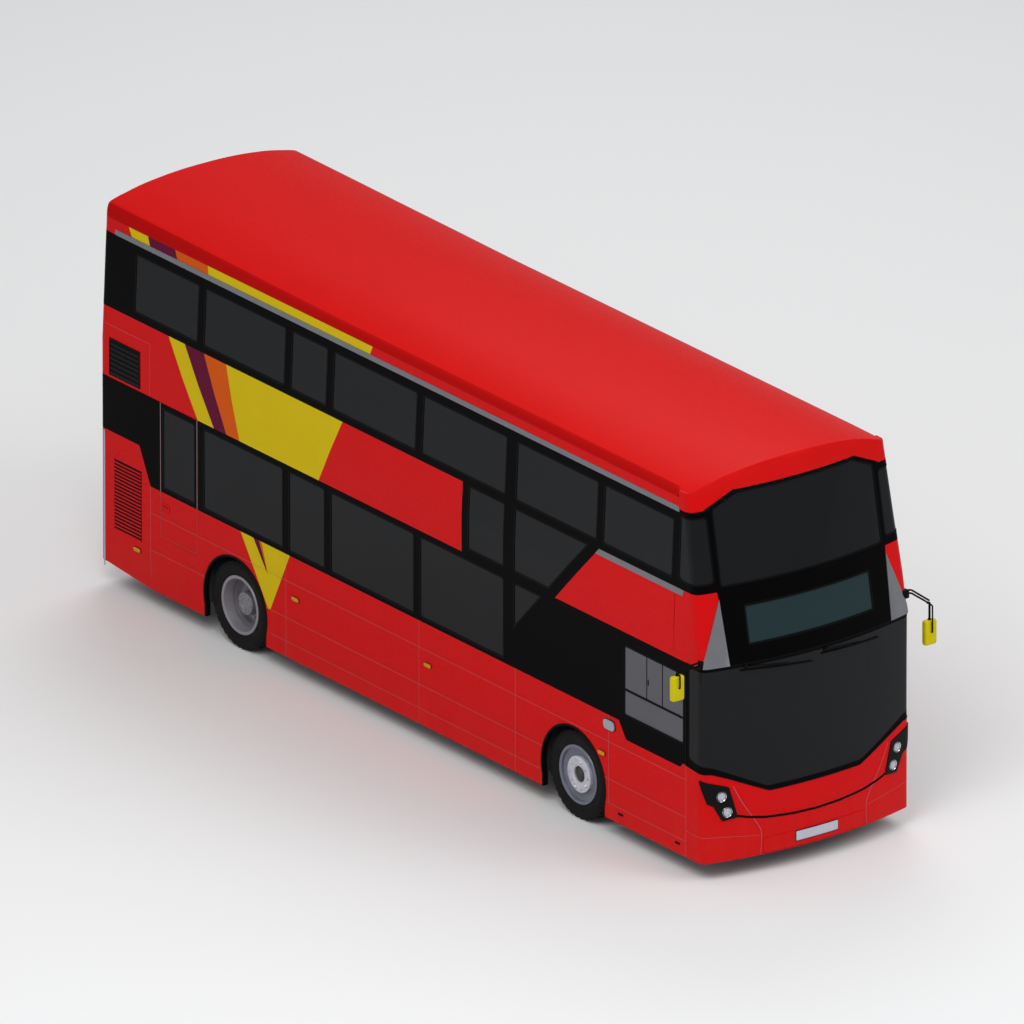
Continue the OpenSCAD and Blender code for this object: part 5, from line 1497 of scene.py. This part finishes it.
p.tube(elbow([(EX0 + 0.06, -HALF_W, 1.15), (EX0 + 0.06, -HALF_W - 0.007, 1.15),
              (EX0 + 0.12, -HALF_W - 0.007, 1.15), (EX0 + 0.12, -HALF_W, 1.15)], 0.008), 0.0055, 10)
p.make("emergency_door_handle", red_paint, "red_paint", bevel=0.001, body="emergency_door")
p = Part()
p.film([rect(EX0 + 0.001, EX0 + 0.009, BAND_LOW, EZ1)], right, 0.0010, 0.0022)
p.film([rect(EX1 - 0.010, EX1 - 0.002, BAND_LOW, EZ1)], right, 0.0010, 0.0022)
p.make("emergency_door_edges", silver_trim, "black_paint", body="emergency_door")
# Pale lines at the door's joints: painted highlight.
p = Part()
p.film([rect(EX0, EX1, JOINT_Z - JOINT, JOINT_Z + JOINT)], right, *FILM2)
for x in (EX0 + 0.001, EX1 - 0.005):
    p.film([rect(x, x + 0.004, EZ0 + 0.004, BAND_LOW)], right, *FILM2)
p.film([rect(EX0, EX1, EZ0 + 0.001, EZ0 + 0.005)], right, *FILM2)
p.make("emergency_door_joint_painted_highlights", joint_painted_highlight, "red_paint", body="emergency_door")
p = Part()
p.tube(elbow([(EX0 + 0.10, -HALF_W + 0.040, 1.20), (EX0 + 0.10, -HALF_W + 0.085, 1.20),
              (EX0 + 0.40, -HALF_W + 0.085, 1.20), (EX0 + 0.40, -HALF_W + 0.040, 1.20)], 0.03), 0.012, 10)
p.make("emergency_door_bar", rail_yellow, "mirror_paint", body="emergency_door")

# ---- Entrance doors --------------------------------------------------------------

LEAF_Y, LEAF_W = HALF_W - WALL / 2, 0.522
LEAF_Z = (FLOOR_Z + 0.016, LOW[1] - 0.006)
for tag, pivot, way in (("rear", DOOR_X0 + 0.03, 1), ("front", DOOR_X1 - 0.03, -1)):
    body = f"entrance_door_{tag}"

    def spot(u, v, d, pivot=pivot, way=way):
        return Vector((pivot + way * u, LEAF_Y + d, v))

    window = rect(0.065, LEAF_W - 0.045, LEAF_Z[0] + 0.12, LEAF_Z[1] - 0.07, 0.035)
    p = Part().film([rect(0.006, LEAF_W - 0.004, LEAF_Z[0], LEAF_Z[1], 0.004), window], spot, -0.017, 0.017)
    p.tube([(pivot, LEAF_Y, LEAF_Z[0]), (pivot, LEAF_Y, LEAF_Z[1])], 0.020, 24)
    p.tube([(pivot, LEAF_Y, LEAF_Z[0] - 0.02), (pivot, LEAF_Y, LEAF_Z[1] + 0.018)], 0.008, 12)
    leaf = p.make(f"{body}_frame", black_plastic, "red_paint", bevel=0.003, body=body)
    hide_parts(body)
    p = Part().film([grow(window, 0.004)], spot, -0.0035, 0.0035)
    p.make(f"{body}_glass", window_glass, "window_glass", body=body)
    p = Part()
    for d0, d1 in ((0.0155, 0.0195), (-0.0195, -0.0155)):
        p.film([grow(window, 0.010), grow(window, -0.010)], spot, d0, d1)
    p.film([rect(LEAF_W - 0.012, LEAF_W - 0.0005, LEAF_Z[0] + 0.004, LEAF_Z[1] - 0.004)], spot,
           -0.012, 0.012)
    p.film([rect(0.03, LEAF_W - 0.02, LEAF_Z[0] - 0.004, LEAF_Z[0] + 0.010)], spot, -0.006, 0.006)
    p.make(f"{body}_rubber", rubber, "black_paint", bevel=0.001, body=body)
    p = Part()
    p.tube(elbow([spot(0.10, 0.98, -0.017), spot(0.10, 0.98, -0.055), spot(0.40, 1.34, -0.055),
                  spot(0.40, 1.34, -0.017)], 0.03), 0.013, 12)
    p.make(f"{body}_rail", rail_yellow, "mirror_paint", body=body)

# Doorway surround and step edge.
p = Part()
DOORWAY = [(DOOR_X0, FLOOR_Z + 0.01), (DOOR_X1, FLOOR_Z + 0.01), (DOOR_X1, LOW[1]), (DOOR_X0, LOW[1])]
p.film([grow(DOORWAY, 0.022), grow(DOORWAY, 0.0005)], side(LEFT), LIFT, 0.006)
p.make("doorway_surround", rubber, "black_paint", bevel=0.001)
p = Part().box((DOOR_X0 + 0.01, INNER_Y - 0.045, FLOOR_Z + 0.0005),
               (DOOR_X1 - 0.01, INNER_Y - 0.002, FLOOR_Z + 0.004))
p.make("step_edge", rail_yellow, "mirror_paint", bevel=0.001)

# ---- Seats -----------------------------------------------------------------------


def pad(w, d, t, channels=(), n=16, top=0.40):
    """Stuffed pad on the XY plane: crowned top, welted seam, sides pulled in below it."""
    a, b = w / 2, d / 2

    def spot(u, v, out):
        return ((a + out) * u * math.sqrt(1 - 0.10 * v * v), (b + out) * v * math.sqrt(1 - 0.10 * u * u))

    def crown(u, v):
        z = (max(0.0, 1 - abs(u) ** 5) * max(0.0, 1 - abs(v) ** 5)) ** 0.45
        for axis, at in channels:
            z -= 0.13 * math.exp(-(((u if axis == "u" else v) - at) / 0.035) ** 2) * z
        return t * (1 - top) + t * top * z

    steps = [math.sin(math.pi / 2 * (-1 + 2 * i / n)) for i in range(n + 1)]
    steps = sorted(set(steps + [at + k for _, at in channels for k in (0, -0.05, 0.05)]))
    m = len(steps)
    verts, faces = [], []
    for lower in (0, 1):
        for v in steps:
            for u in steps:
                x, y = spot(u, v, -0.012 if lower else -0.003)
                verts.append((x, y, 0.0 if lower else crown(u, v)))
    for i in range(m - 1):
        for k in range(m - 1):
            q = [i * m + k, i * m + k + 1, (i + 1) * m + k + 1, (i + 1) * m + k]
            faces += [q, [m * m + j for j in reversed(q)]]
    ring = border(m, m)
    levels = [(1 - top + 0.015, 0.001), (1 - top, 0.0035), (1 - top - 0.035, 0.0035),
              (1 - top - 0.06, -0.001), (0.42, 0.003), (0.22, 0.0025), (0.07, -0.004)]
    rows = [ring]
    for height, out in levels:
        row = []
        for j in ring:
            u, v = steps[j % m], steps[j // m]
            slack = 1 - max(u * u, v * v) * min(1.0, abs(u * v) ** 2)
            pull = -0.006 * slack if 0.1 < height < 0.55 else 0.0
            x, y = spot(u, v, out - 0.003 + pull)
            row.append(len(verts))
            verts.append((x, y, t * height))
        rows.append(row)
    rows.append([m * m + j for j in ring])
    for r0, r1 in zip(rows, rows[1:]):
        for k in range(len(ring)):
            j = (k + 1) % len(ring)
            faces.append([r0[k], r0[j], r1[j], r1[k]])
    part = Part()
    part.add([Vector(v) for v in verts], faces)
    mesh = bpy.data.meshes.new("pad")
    part.bm.to_mesh(mesh)
    part.bm.free()
    for f in mesh.polygons:
        f.use_smooth = True
    return mesh


def pad_mesh(material, *args, **kw):
    """Pad in one material, shared by like cushions."""
    mesh = pad(*args, **kw)
    mesh.materials.append(material)
    return mesh


def stuffed(name, mesh, at):
    """Places a pad."""
    obj = place(name, mesh, "body", at=at)


def frame_of(origin, x_axis, z_axis):
    """Matrix at origin with the given x and z axes."""
    x, z = Vector(x_axis).normalized(), Vector(z_axis).normalized()
    y = z.cross(x)
    return Matrix.Translation(Vector(origin)) @ Matrix((x, y, z)).transposed().to_4x4()


seat_pad = pad_mesh(seat_cloth, 0.405, 0.425, 0.088, channels=(("u", -0.56), ("u", 0.56)))
back_pad = pad_mesh(seat_cloth, 0.555, 0.405, 0.052, channels=(("v", -0.56), ("v", 0.56), ("u", 0.52)))
bench_pad = pad_mesh(seat_cloth, 0.46, 0.36, 0.088, channels=(("v", 0.0),))
bench_back = pad_mesh(seat_cloth, 0.44, 0.46, 0.060, channels=(("v", 0.0),))
PITCH = 0.76  # from seat row to seat row
LOW_Y, UP_Y = 0.775, 0.740  # middles of the double seats
BACK_LEAN = Vector((-0.06, 0, 1)).normalized()
BACK_FACE = Vector((1, 0, 0.06)).normalized()


def double_seat(shell, rails, tag, x, y, z):
    """Two cushions and two backrests on one moulded shell, with its grab rail and legs."""
    for k, dy in enumerate((-0.212, 0.212)):
        stuffed(f"cushion_{tag}_{k}", seat_pad, Matrix.Translation((x + 0.2145, y + dy, z + 0.344)))
        at = frame_of(Vector((x + 0.016, y + dy, z + 0.70)), BACK_LEAN, BACK_FACE)
        stuffed(f"backrest_{tag}_{k}", back_pad, at)
    # Moulded pan and back shell, with a rounded top, and a grab rail over it.
    shell.film([rect(x + 0.004, x + 0.424, y - 0.432, y + 0.432, 0.05)], across_z, z + 0.322, z + 0.345)

    def lean(u, v, d):
        return Vector((x + 0.012 + d - 0.0746 * (v - z - 0.34), u, v))

    shell.film([fillet([(y - 0.436, z + 0.33), (y + 0.436, z + 0.33), (y + 0.432, z + 0.985),
                        (y - 0.432, z + 0.985)], [0.03, 0.03, 0.10, 0.10], 6)],
               lean, -0.010, 0.010, cuts_v=(z + 0.5, z + 0.75))
    for dy in (-0.425, 0.425):
        shell.film([fillet([(x + 0.01, z + 0.325), (x + 0.40, z + 0.325), (x + 0.41, z + 0.375),
                            (x + 0.05, z + 0.45), (x + 0.0, z + 0.5)], [0.01, 0.03, 0.03, 0.04, 0.01], 4)],
                   across_y, y + dy - 0.006, y + dy + 0.006)
    for sign in (1, -1):
        a = y + sign * 0.36
        rails.tube(elbow([lean(a, z + 0.93, -0.010), lean(a, z + 0.985, -0.022),
                          lean(y, z + 1.000, -0.022)], 0.05), 0.0115, 10)
    for dy in (-0.19, 0.19):
        shell.tube(elbow([(x + 0.06, y + dy, z + 0.325), (x + 0.16, y + dy, z + 0.16),
                          (x + 0.16, y + dy, z + 0.001)], 0.08), 0.017, 10)
        shell.tube([(x + 0.16, y + dy, z + 0.16), (x + 0.33, y + dy, z + 0.325)], 0.014, 8)
        shell.film([rect(x + 0.105, x + 0.215, y + dy - 0.035, y + dy + 0.035, 0.02)], across_z,
                   z + 0.0005, z + 0.008)


shell, rails = Part(), Part()
count = 0
for i in range(4):
    x = AXLE_R + 0.99 + PITCH * i
    for sign in (1, -1):
        if sign > 0 or i < 3:
            double_seat(shell, rails, f"lower_{count}", x, sign * LOW_Y, FLOOR_Z)
            count += 1
double_seat(shell, rails, f"lower_{count}", -3.96, LOW_Y, REAR_FLOOR_Z)
for sign in (1, -1):
    for k in range(2):
        x = -3.26 + 0.24 + 0.48 * k
        stuffed(f"bench_cushion_{sign + 1}{k}", bench_pad,
                Matrix.Translation((x, sign * 0.949, BOX_Z + 0.001)))
        at = frame_of((x, sign * 1.199, BOX_Z + 0.33), (0, 0, 1), (0, -sign, 0))
        stuffed(f"bench_backrest_{sign + 1}{k}", bench_back, at)
    shell.film([rect(-3.255, -2.305, BOX_Z + 0.01, BOX_Z + 0.555, [0.01, 0.01, 0.06, 0.06], 5)], across_y,
               sign * 1.200 - 0.012, sign * 1.200 + 0.012)
seats = shell.make("lower_seat_shells", dash_plastic, "seat_fabric", bevel=0.002)
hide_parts("lower_seats")
rails.make("lower_seat_rails", rail_yellow, "mirror_paint")

shell, rails = Part(), Part()
for i in range(12):
    x = TAIL_X + 0.34 + PITCH * i
    for sign in (1, -1):
        if sign > 0 or i < 8 or i == 11:
            double_seat(shell, rails, f"upper_{i}_{'left' if sign > 0 else 'right'}", x, sign * UP_Y,
                        UPPER_Z)
seats = shell.make("upper_seat_shells", dash_plastic, "seat_fabric", bevel=0.002)
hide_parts("upper_seats")
rails.make("upper_seat_rails", rail_yellow, "mirror_paint")

# Driver's seat: suspension base with a gaiter, bolstered cushion, tall back and headrest.
DX, DY = 3.74, -0.815
driver_pad = pad_mesh(leatherette, 0.455, 0.465, 0.108, channels=(("v", -0.55), ("v", 0.55)))
driver_back = pad_mesh(leatherette, 0.50, 0.445, 0.085, channels=(("v", -0.55), ("v", 0.55), ("u", -0.1)))
driver_head = pad_mesh(leatherette, 0.17, 0.28, 0.07)
stuffed("driver_cushion", driver_pad, Matrix.Translation((DX + 0.015, DY, FLOOR_Z + 0.332)))
tilt = Vector((-0.10, 0, 1)).normalized()
front = Vector((1, 0, 0.10)).normalized()
stuffed("driver_backrest", driver_back, frame_of((DX - 0.215, DY, FLOOR_Z + 0.69), tilt, front))
stuffed("driver_headrest", driver_head, frame_of((DX - 0.255, DY, FLOOR_Z + 1.03), tilt, front))
p = Part()
at = Matrix.Translation((DX, DY, FLOOR_Z))
p.lathe([(0.0, 0.0), (0.105, 0.0), (0.108, 0.02), (0.092, 0.05), (0.104, 0.08), (0.088, 0.11),
         (0.102, 0.14), (0.086, 0.17), (0.100, 0.20), (0.084, 0.23), (0.100, 0.26), (0.108, 0.29),
         (0.0, 0.29)], at, n=40)
p.film([rect(DX - 0.20, DX + 0.21, DY - 0.20, DY + 0.20, 0.05)], across_z, FLOOR_Z + 0.29, FLOOR_Z + 0.334)


def behind(u, v, d):
    """Leaning surface of the driver's backrest."""
    return Vector((DX - 0.232 + d - 0.10 * (v - FLOOR_Z - 0.44), u, v))


p.film([rect(DY - 0.215, DY + 0.215, FLOOR_Z + 0.40, FLOOR_Z + 1.10, 0.09)], behind, 0.0, 0.028,
       cuts_v=(FLOOR_Z + 0.7,))
driver = p.make("driver_seat_base", black_plastic, "seat_fabric", bevel=0.003)
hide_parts("driver_seat")

# ---- Saloon fittings -------------------------------------------------------------

# Wall lining inside the side walls, with the windows left open.
LINING = (0.0, 0.0022)  # depths of the lining, inwards from the wall
p = Part()
for sign in (RIGHT, LEFT):
    def lined(u, v, d, sign=sign):
        return skin(sign * s_of_x(u, v), v, -WALL - 0.0004 - d)

    rear_bay = [] if sign == RIGHT else [rect(*REAR_BAY, *LOW, 0.03)]
    holes = [grow(w, 0.012) for w in low_windows + rear_bay]
    ends = (EXIT_X1 + 0.03, 3.36) if sign == RIGHT else (SEAM_R + 0.06, DOOR_X0 - 0.24)
    p.film([rect(*ends, REAR_FLOOR_Z + 0.26, SPLIT_Z - 0.02)] + holes, lined, *LINING)
    p.film([rect(EXIT_X1 + 1.41, AXLE_F - 0.60, FLOOR_Z + 0.005, REAR_FLOOR_Z + 0.26)], lined, *LINING)
    up_holes = [grow(w, 0.012) for w in up_windows]
    p.film([rect(SEAM_R + 0.06, SEAM_U - 0.02, UPPER_Z + 0.005, CANT_Z - 0.01)] + up_holes
           + ([grow(stair_quad, 0.012), grow(stair_rect, 0.012)] if sign == RIGHT else []), lined, *LINING,
           cuts_v=LEAN)
p.make("wall_linings", lining, "box_plastic")

# Ceiling light strips.
p = Part()
under = UPPER_Z - 0.06
for y in (-0.62, 0.62):
    for i in range(6):
        x = -3.6 + 1.05 * i
        if not (y < 0 and x > 0.4):
            p.film([rect(x, x + 0.85, y - 0.055, y + 0.055, 0.02)], across_z, under - 0.022, under - 0.0005)
p.make("ceiling_lights", white_lens, "lamp_lens", bevel=0.004)

# Handrails: uprights by the seats, a rail along each side under the lower ceiling, the stair rails.
p = Part()
RAIL, GAP, AISLE = 0.0165, 0.0005, 0.345  # radius, gap to what it stands on, from the middle


def flanged(a, b):
    """Straight rail with a flange at each end."""
    p.tube([a, b], RAIL, 14)
    for q, way in ((a, 1), (b, -1)):
        p.lathe([(RAIL, 0.0), (0.034, 0.0), (0.034, 0.006), (RAIL + 0.001, 0.011)],
                facing(q, (Vector(b) - Vector(a)).normalized() * way), n=20, closed=True)


for x, sign in ((-1.24, 1), (-1.24, -1), (0.28, 1), (0.28, -1), (1.24, 1), (2.10, 1), (3.22, 1)):
    flanged((x, sign * AISLE, FLOOR_Z + GAP), (x, sign * AISLE, under - GAP))
for sign in (1, -1):
    ends = (-2.05, 3.22 if sign > 0 else 0.28)
    p.tube([(x, sign * AISLE, under - 0.14) for x in ends], RAIL * 0.9, 12)
    for x in ends:
        p.tube([(x, sign * AISLE, under - 0.14), (x, sign * AISLE, under - GAP)], RAIL * 0.9, 12)
for sign in (1, -1):
    flanged((-2.02, sign * AISLE, REAR_FLOOR_Z + GAP), (-2.02, sign * AISLE, under - GAP))
for i, sign in ((1, 1), (1, -1), (4, 1), (4, -1), (7, 1), (7, -1), (10, 1)):
    x = TAIL_X + 0.31 + PITCH * i
    flanged((x, sign * 0.262, UPPER_Z + GAP), (x, sign * 0.262, 4.115))
STAIR_X, GOING, RISE = AXLE_F - 1.83, 0.222, (UPPER_Z - FLOOR_Z) / 9
for y in (-0.53, -1.19):
    foot = Vector((STAIR_X - 0.02, y, FLOOR_Z + 0.90))
    rail_top = Vector((STAIR_X + 6.2 * GOING, y, FLOOR_Z + 0.95 + 6.2 * RISE))
    if y > -1:
        p.tube(elbow([Vector((foot.x, y, FLOOR_Z + GAP)), foot, rail_top], 0.10), RAIL, 12)
    else:
        p.tube([foot + Vector((0.2, 0.012, 0.2)), rail_top + Vector((0, 0.012, 0))], RAIL * 0.9, 12)
GX = STAIR_X + 9 * GOING
GUARD_X, GUARD_Y, GUARD_TOP = (STAIR_X + 2.35 * GOING, GX - 0.10), -0.515, UPPER_Z + 0.88
p.tube(elbow([(GUARD_X[0], GUARD_Y, UPPER_Z + GAP), (GUARD_X[0], GUARD_Y, GUARD_TOP),
              (GUARD_X[1], GUARD_Y, GUARD_TOP), (GUARD_X[1], GUARD_Y, UPPER_Z + GAP)], 0.08), RAIL, 12)
p.tube([(GUARD_X[0], GUARD_Y, UPPER_Z + 0.46), (GUARD_X[1], GUARD_Y, UPPER_Z + 0.46)], RAIL * 0.8, 12)
p.make("handrails", rail_yellow, "mirror_paint")
p = Part()
p.film([rect(STAIR_X + 2.42 * GOING, GX - 0.13, UPPER_Z + 0.06, UPPER_Z + 0.84, 0.04)], across_y,
       -0.520, -0.510)
p.make("stair_screen", box_plastic, "box_plastic", bevel=0.002)

p = Part()
for i in range(9):
    x, z = STAIR_X + GOING * i, FLOOR_Z + RISE * (i + 1)
    p.film([rect(x - 0.004, x + 0.038, -1.215, -0.565)], across_z, z + 0.0003, z + 0.0035)
    p.film([rect(-1.215, -0.565, z - 0.030, z + 0.0035)], across_x, x - 0.004, x - 0.0004)
p.film([rect(AXLE_R + 0.615, AXLE_R + 0.655, -0.62, 0.62)], across_z,
       REAR_FLOOR_Z + 0.0003, REAR_FLOOR_Z + 0.0035)
p.make("step_nosings", rail_yellow, "mirror_paint")

# ---- Cab -------------------------------------------------------------------------

CX, CZ, RING_R = 4.34, 1.08, 0.2245 * 0.93  # steering wheel: middle, and radius of its ring
p = Part()
p.film([fillet([(DY - 0.24, 1.061), (DY + 0.24, 1.061), (DY + 0.20, 1.21), (DY - 0.20, 1.21)],
               [0.0, 0.0, 0.05, 0.05], 5)],
       lambda u, v, d: Vector((d + 0.35 * (v - 1.06), u, v)), 4.70, 4.80)
p.box((4.68, -0.60, 1.061), (4.82, -0.45, 1.10))
rounded_box(p, (4.66, -0.56, 1.10), (4.76, -0.47, 1.30), 0.012)
p.make("instrument_binnacle", dash_plastic, "dash_plastic", bevel=0.004)
p = Part()
for y in (-0.09, 0.09):
    at = frame_of((4.703 + 0.35 * 0.075, DY + y, 1.135), (0, 1, 0), (-1, 0, 0.35))
    p.lathe([(0.0, 0.0), (0.055, 0.0), (0.055, 0.004), (0.051, 0.004), (0.050, 0.002), (0.0, 0.002)], at,
            n=36)
p.make("dials", chrome, "lamp_lens")
p = Part()
for k in range(8):
    y = -1.16 + 0.030 * k
    p.box((4.68, y, 1.061), (4.70, y + 0.022, 1.069))
p.make("dash_switches", rubber, "dash_plastic", bevel=0.0015)

at = Matrix.Translation((CX, DY, CZ)) @ Matrix.Rotation(math.radians(-25), 4, "Y")
p = Part()
p.tube([at @ polar(RING_R, 2 * math.pi * k / 64) for k in range(64)], 0.0145, 12, closed=True)
p.lathe([(0.0, -0.004), (0.055, -0.004), (0.062, 0.004), (0.055, 0.016), (0.030, 0.022), (0.0, 0.023)], at,
        n=36)
for k in range(3):
    a = 2 * math.pi * k / 3 + math.pi / 2
    p.tube([at @ polar(0.04, a, 0.004), at @ polar(0.207, a)], 0.010, 10)
wheel = p.make("steering_wheel_rim", black_plastic, "dash_plastic", body="steering_wheel")
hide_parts("steering_wheel")

# ---- Engine bay and underside ----------------------------------------------------

lo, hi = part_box("engine_block")
p, hoses, bright = Part(), Part(), Part()
at = facing((lo.x - 0.004, 0.12, 0.86), (-1, 0, 0))
p.lathe([(0.235, 0.0), (0.262, 0.0), (0.262, 0.055), (0.250, 0.062), (0.240, 0.055)], at, n=48, closed=True)
p.lathe([(0.0, 0.0), (0.05, 0.0), (0.05, 0.04), (0.042, 0.05), (0.0, 0.05)], at, n=28)
for k in range(8):
    spoke = at @ Matrix.Rotation(2 * math.pi * k / 8, 4, "Z")
    blade = spoke @ Matrix.Translation((0.14, 0, 0.026)) @ Matrix.Rotation(0.5, 4, "X")
    p.box((-0.095, -0.035, -0.0025), (0.088, 0.035, 0.0025), at=blade)
for y, z, r in ((-0.34, 0.62, 0.085), (-0.40, 0.92, 0.055), (-0.22, 1.10, 0.045)):
    at = facing((lo.x - 0.002, y, z), (-1, 0, 0))
    p.lathe([(0.0, 0.0), (r, 0.0), (r, 0.008), (r * 0.9, 0.014), (r * 0.9, 0.026), (r, 0.032), (r, 0.040),
             (0.0, 0.040)], at, n=36)
belt = [(-0.455, 0.92), (-0.42, 0.60), (-0.27, 0.57), (-0.17, 1.10), (-0.24, 1.15), (-0.43, 0.97)]
inside = [(-0.445, 0.92), (-0.41, 0.60), (-0.28, 0.585), (-0.182, 1.10), (-0.24, 1.138), (-0.425, 0.962)]
p.film([fillet(belt, 0.03, 4), fillet(inside, 0.03, 4)], lambda u, v, d: Vector((lo.x - d, u, v)),
       0.018, 0.030)
p.box((lo.x + 0.02, -0.52, hi.z - 0.001), (hi.x - 0.05, 0.40, hi.z + 0.028))
for k in range(6):
    x = lo.x + 0.09 + 0.105 * k
    p.box((x, -0.44, hi.z + 0.027), (x + 0.05, 0.30, hi.z + 0.045))
p.make("engine_fittings", iron, "engine_iron", bevel=0.002)
HOSES = ((0.024, (-0.02, 0.42, 1.16), (-0.05, 0.58, 1.20), (-0.03, 0.74, 1.10), (0.04, 0.80, 0.95)),
         (0.024, (-0.02, 0.44, 0.50), (-0.05, 0.60, 0.47), (0.0, 0.78, 0.55), (0.06, 0.82, 0.72)),
         (0.018, (-0.02, -0.52, 1.08), (-0.05, -0.66, 1.00), (0.02, -0.78, 0.80)))
for r, *points in HOSES:
    hoses.tube(curve([(lo.x + x, y, z) for x, y, z in points], 8), r, 12)
hoses.make("engine_hoses", rubber, "engine_iron")
rounded_box(bright, (lo.x + 0.02, 0.62, 1.14), (lo.x + 0.26, 0.94, 1.36), 0.03)
bright.lathe([(0.0, 0.0), (0.035, 0.0), (0.035, 0.02), (0.028, 0.025), (0.0, 0.025)],
             Matrix.Translation((lo.x + 0.14, 0.78, 1.36)), n=28)
bright.make("header_tank", white_lens, "engine_iron")

p = Part()
for x, y in ((-0.55, 0.66), (-0.55, -0.66), (0.75, -0.66)):
    p.lathe([(0.0, 0.0), (0.06, 0.006), (0.10, 0.03), (0.105, 0.05), (0.105, 0.65), (0.10, 0.67),
             (0.06, 0.694), (0.0, 0.70)], facing((x, y, FLOOR_Z - 0.145), (1, 0, 0)), n=32)
p.tube([(AXLE_R + 0.10, 0.0, HUB_Z + 0.02), (AXLE_R - 0.15, 0.0, HUB_Z + 0.03),
        (-4.09, -0.02, HUB_Z + 0.05)], 0.045, 20)
p.make("air_tanks_and_shaft", steel_dark, "chassis_steel")

# ---- Floor, light and camera -----------------------------------------------------


SKY = 0.62


def studio():
    """White backdrop for the camera, and a soft sky for everything else."""
    world = bpy.data.worlds.new("studio")
    bpy.context.scene.world = world
    world.use_nodes = True
    t = world.node_tree
    t.nodes.clear()
    out, coord, split, ramp, shift, sky, white, path, mix = (
        t.nodes.new("ShaderNode" + kind) for kind in
        ("OutputWorld", "TexCoord", "SeparateXYZ", "ValToRGB", "MapRange", "Background", "Background",
         "LightPath", "MixShader"))
    t.links.new(coord.outputs["Generated"], split.inputs["Vector"])
    ramp.color_ramp.elements[0].position = 0.35
    ramp.color_ramp.elements[0].color = (0.55, 0.56, 0.58, 1)
    ramp.color_ramp.elements[1].position = 1.0
    ramp.color_ramp.elements[1].color = (1.0, 1.0, 1.0, 1)
    shift.inputs["From Min"].default_value = -1
    t.links.new(split.outputs["Z"], shift.inputs["Value"])
    t.links.new(shift.outputs["Result"], ramp.inputs["Fac"])
    sky.inputs["Strength"].default_value = SKY
    t.links.new(ramp.outputs["Color"], sky.inputs["Color"])
    white.inputs["Color"].default_value = (0.94, 0.945, 0.95, 1)
    t.links.new(path.outputs["Is Camera Ray"], mix.inputs["Fac"])
    t.links.new(sky.outputs["Background"], mix.inputs[1])
    t.links.new(white.outputs["Background"], mix.inputs[2])
    t.links.new(mix.outputs["Shader"], out.inputs["Surface"])


def lamp(name, where, aim, size, power):
    """Round area lamp aimed at a point."""
    data = bpy.data.lights.new(name, "AREA")
    data.shape, data.size, data.energy = "DISK", size, power
    obj = bpy.data.objects.new(name, data)
    bpy.context.scene.collection.objects.link(obj)
    where, aim = Vector(where), Vector(aim)
    turn = (aim - where).to_track_quat("-Z", "Y").to_matrix().to_4x4()
    obj.matrix_world = Matrix.Translation(where) @ turn


studio()
lamp("key", (11, -15, 22), (0, 0, 1.5), 16, 3000)
lamp("nose_fill", (20, 8, 18), (3, 0, 1.5), 14, 1500)
lamp("rear_fill", (-14, 12, 22), (0, 0, 2), 16, 1600)

ground = Part().lathe([(0.0, -0.02), (45.0, -0.02), (45.0, 0.0), (0.0, 0.0)], Matrix.Identity(4), n=64)
floor_mesh = bpy.data.meshes.new("studio_floor")
ground.bm.to_mesh(floor_mesh)
ground.bm.free()
floor_obj = bpy.data.objects.new("studio_floor", floor_mesh)
bpy.context.scene.collection.objects.link(floor_obj)
n = Nodes("studio_floor")
floor_mesh.materials.append(n.finish((0.80, 0.805, 0.81), 0.85))

AZ, EL = math.radians(53.07), math.radians(21.81)
back = Vector((math.sin(AZ) * math.cos(EL), -math.cos(AZ) * math.cos(EL), math.sin(EL)))
cam = bpy.data.objects.new("camera", bpy.data.cameras.new("camera"))
bpy.context.scene.collection.objects.link(cam)
FOCAL, SENSOR = 1500.0, 36.0  # a long lens, millimetres
METRES_WIDE = 10.08867
distance = FOCAL * METRES_WIDE / SENSOR
aim = Vector((0.08, 0.0, 2.08))
cam.data.lens, cam.data.sensor_width = FOCAL, SENSOR
cam.data.clip_start, cam.data.clip_end = 10, 2000
turn = back.to_track_quat("Z", "Y").to_matrix().to_4x4()
cam.matrix_world = Matrix.Translation(aim + back * distance) @ turn
bpy.context.scene.camera = cam
bpy.context.scene.view_settings.view_transform = "Standard"
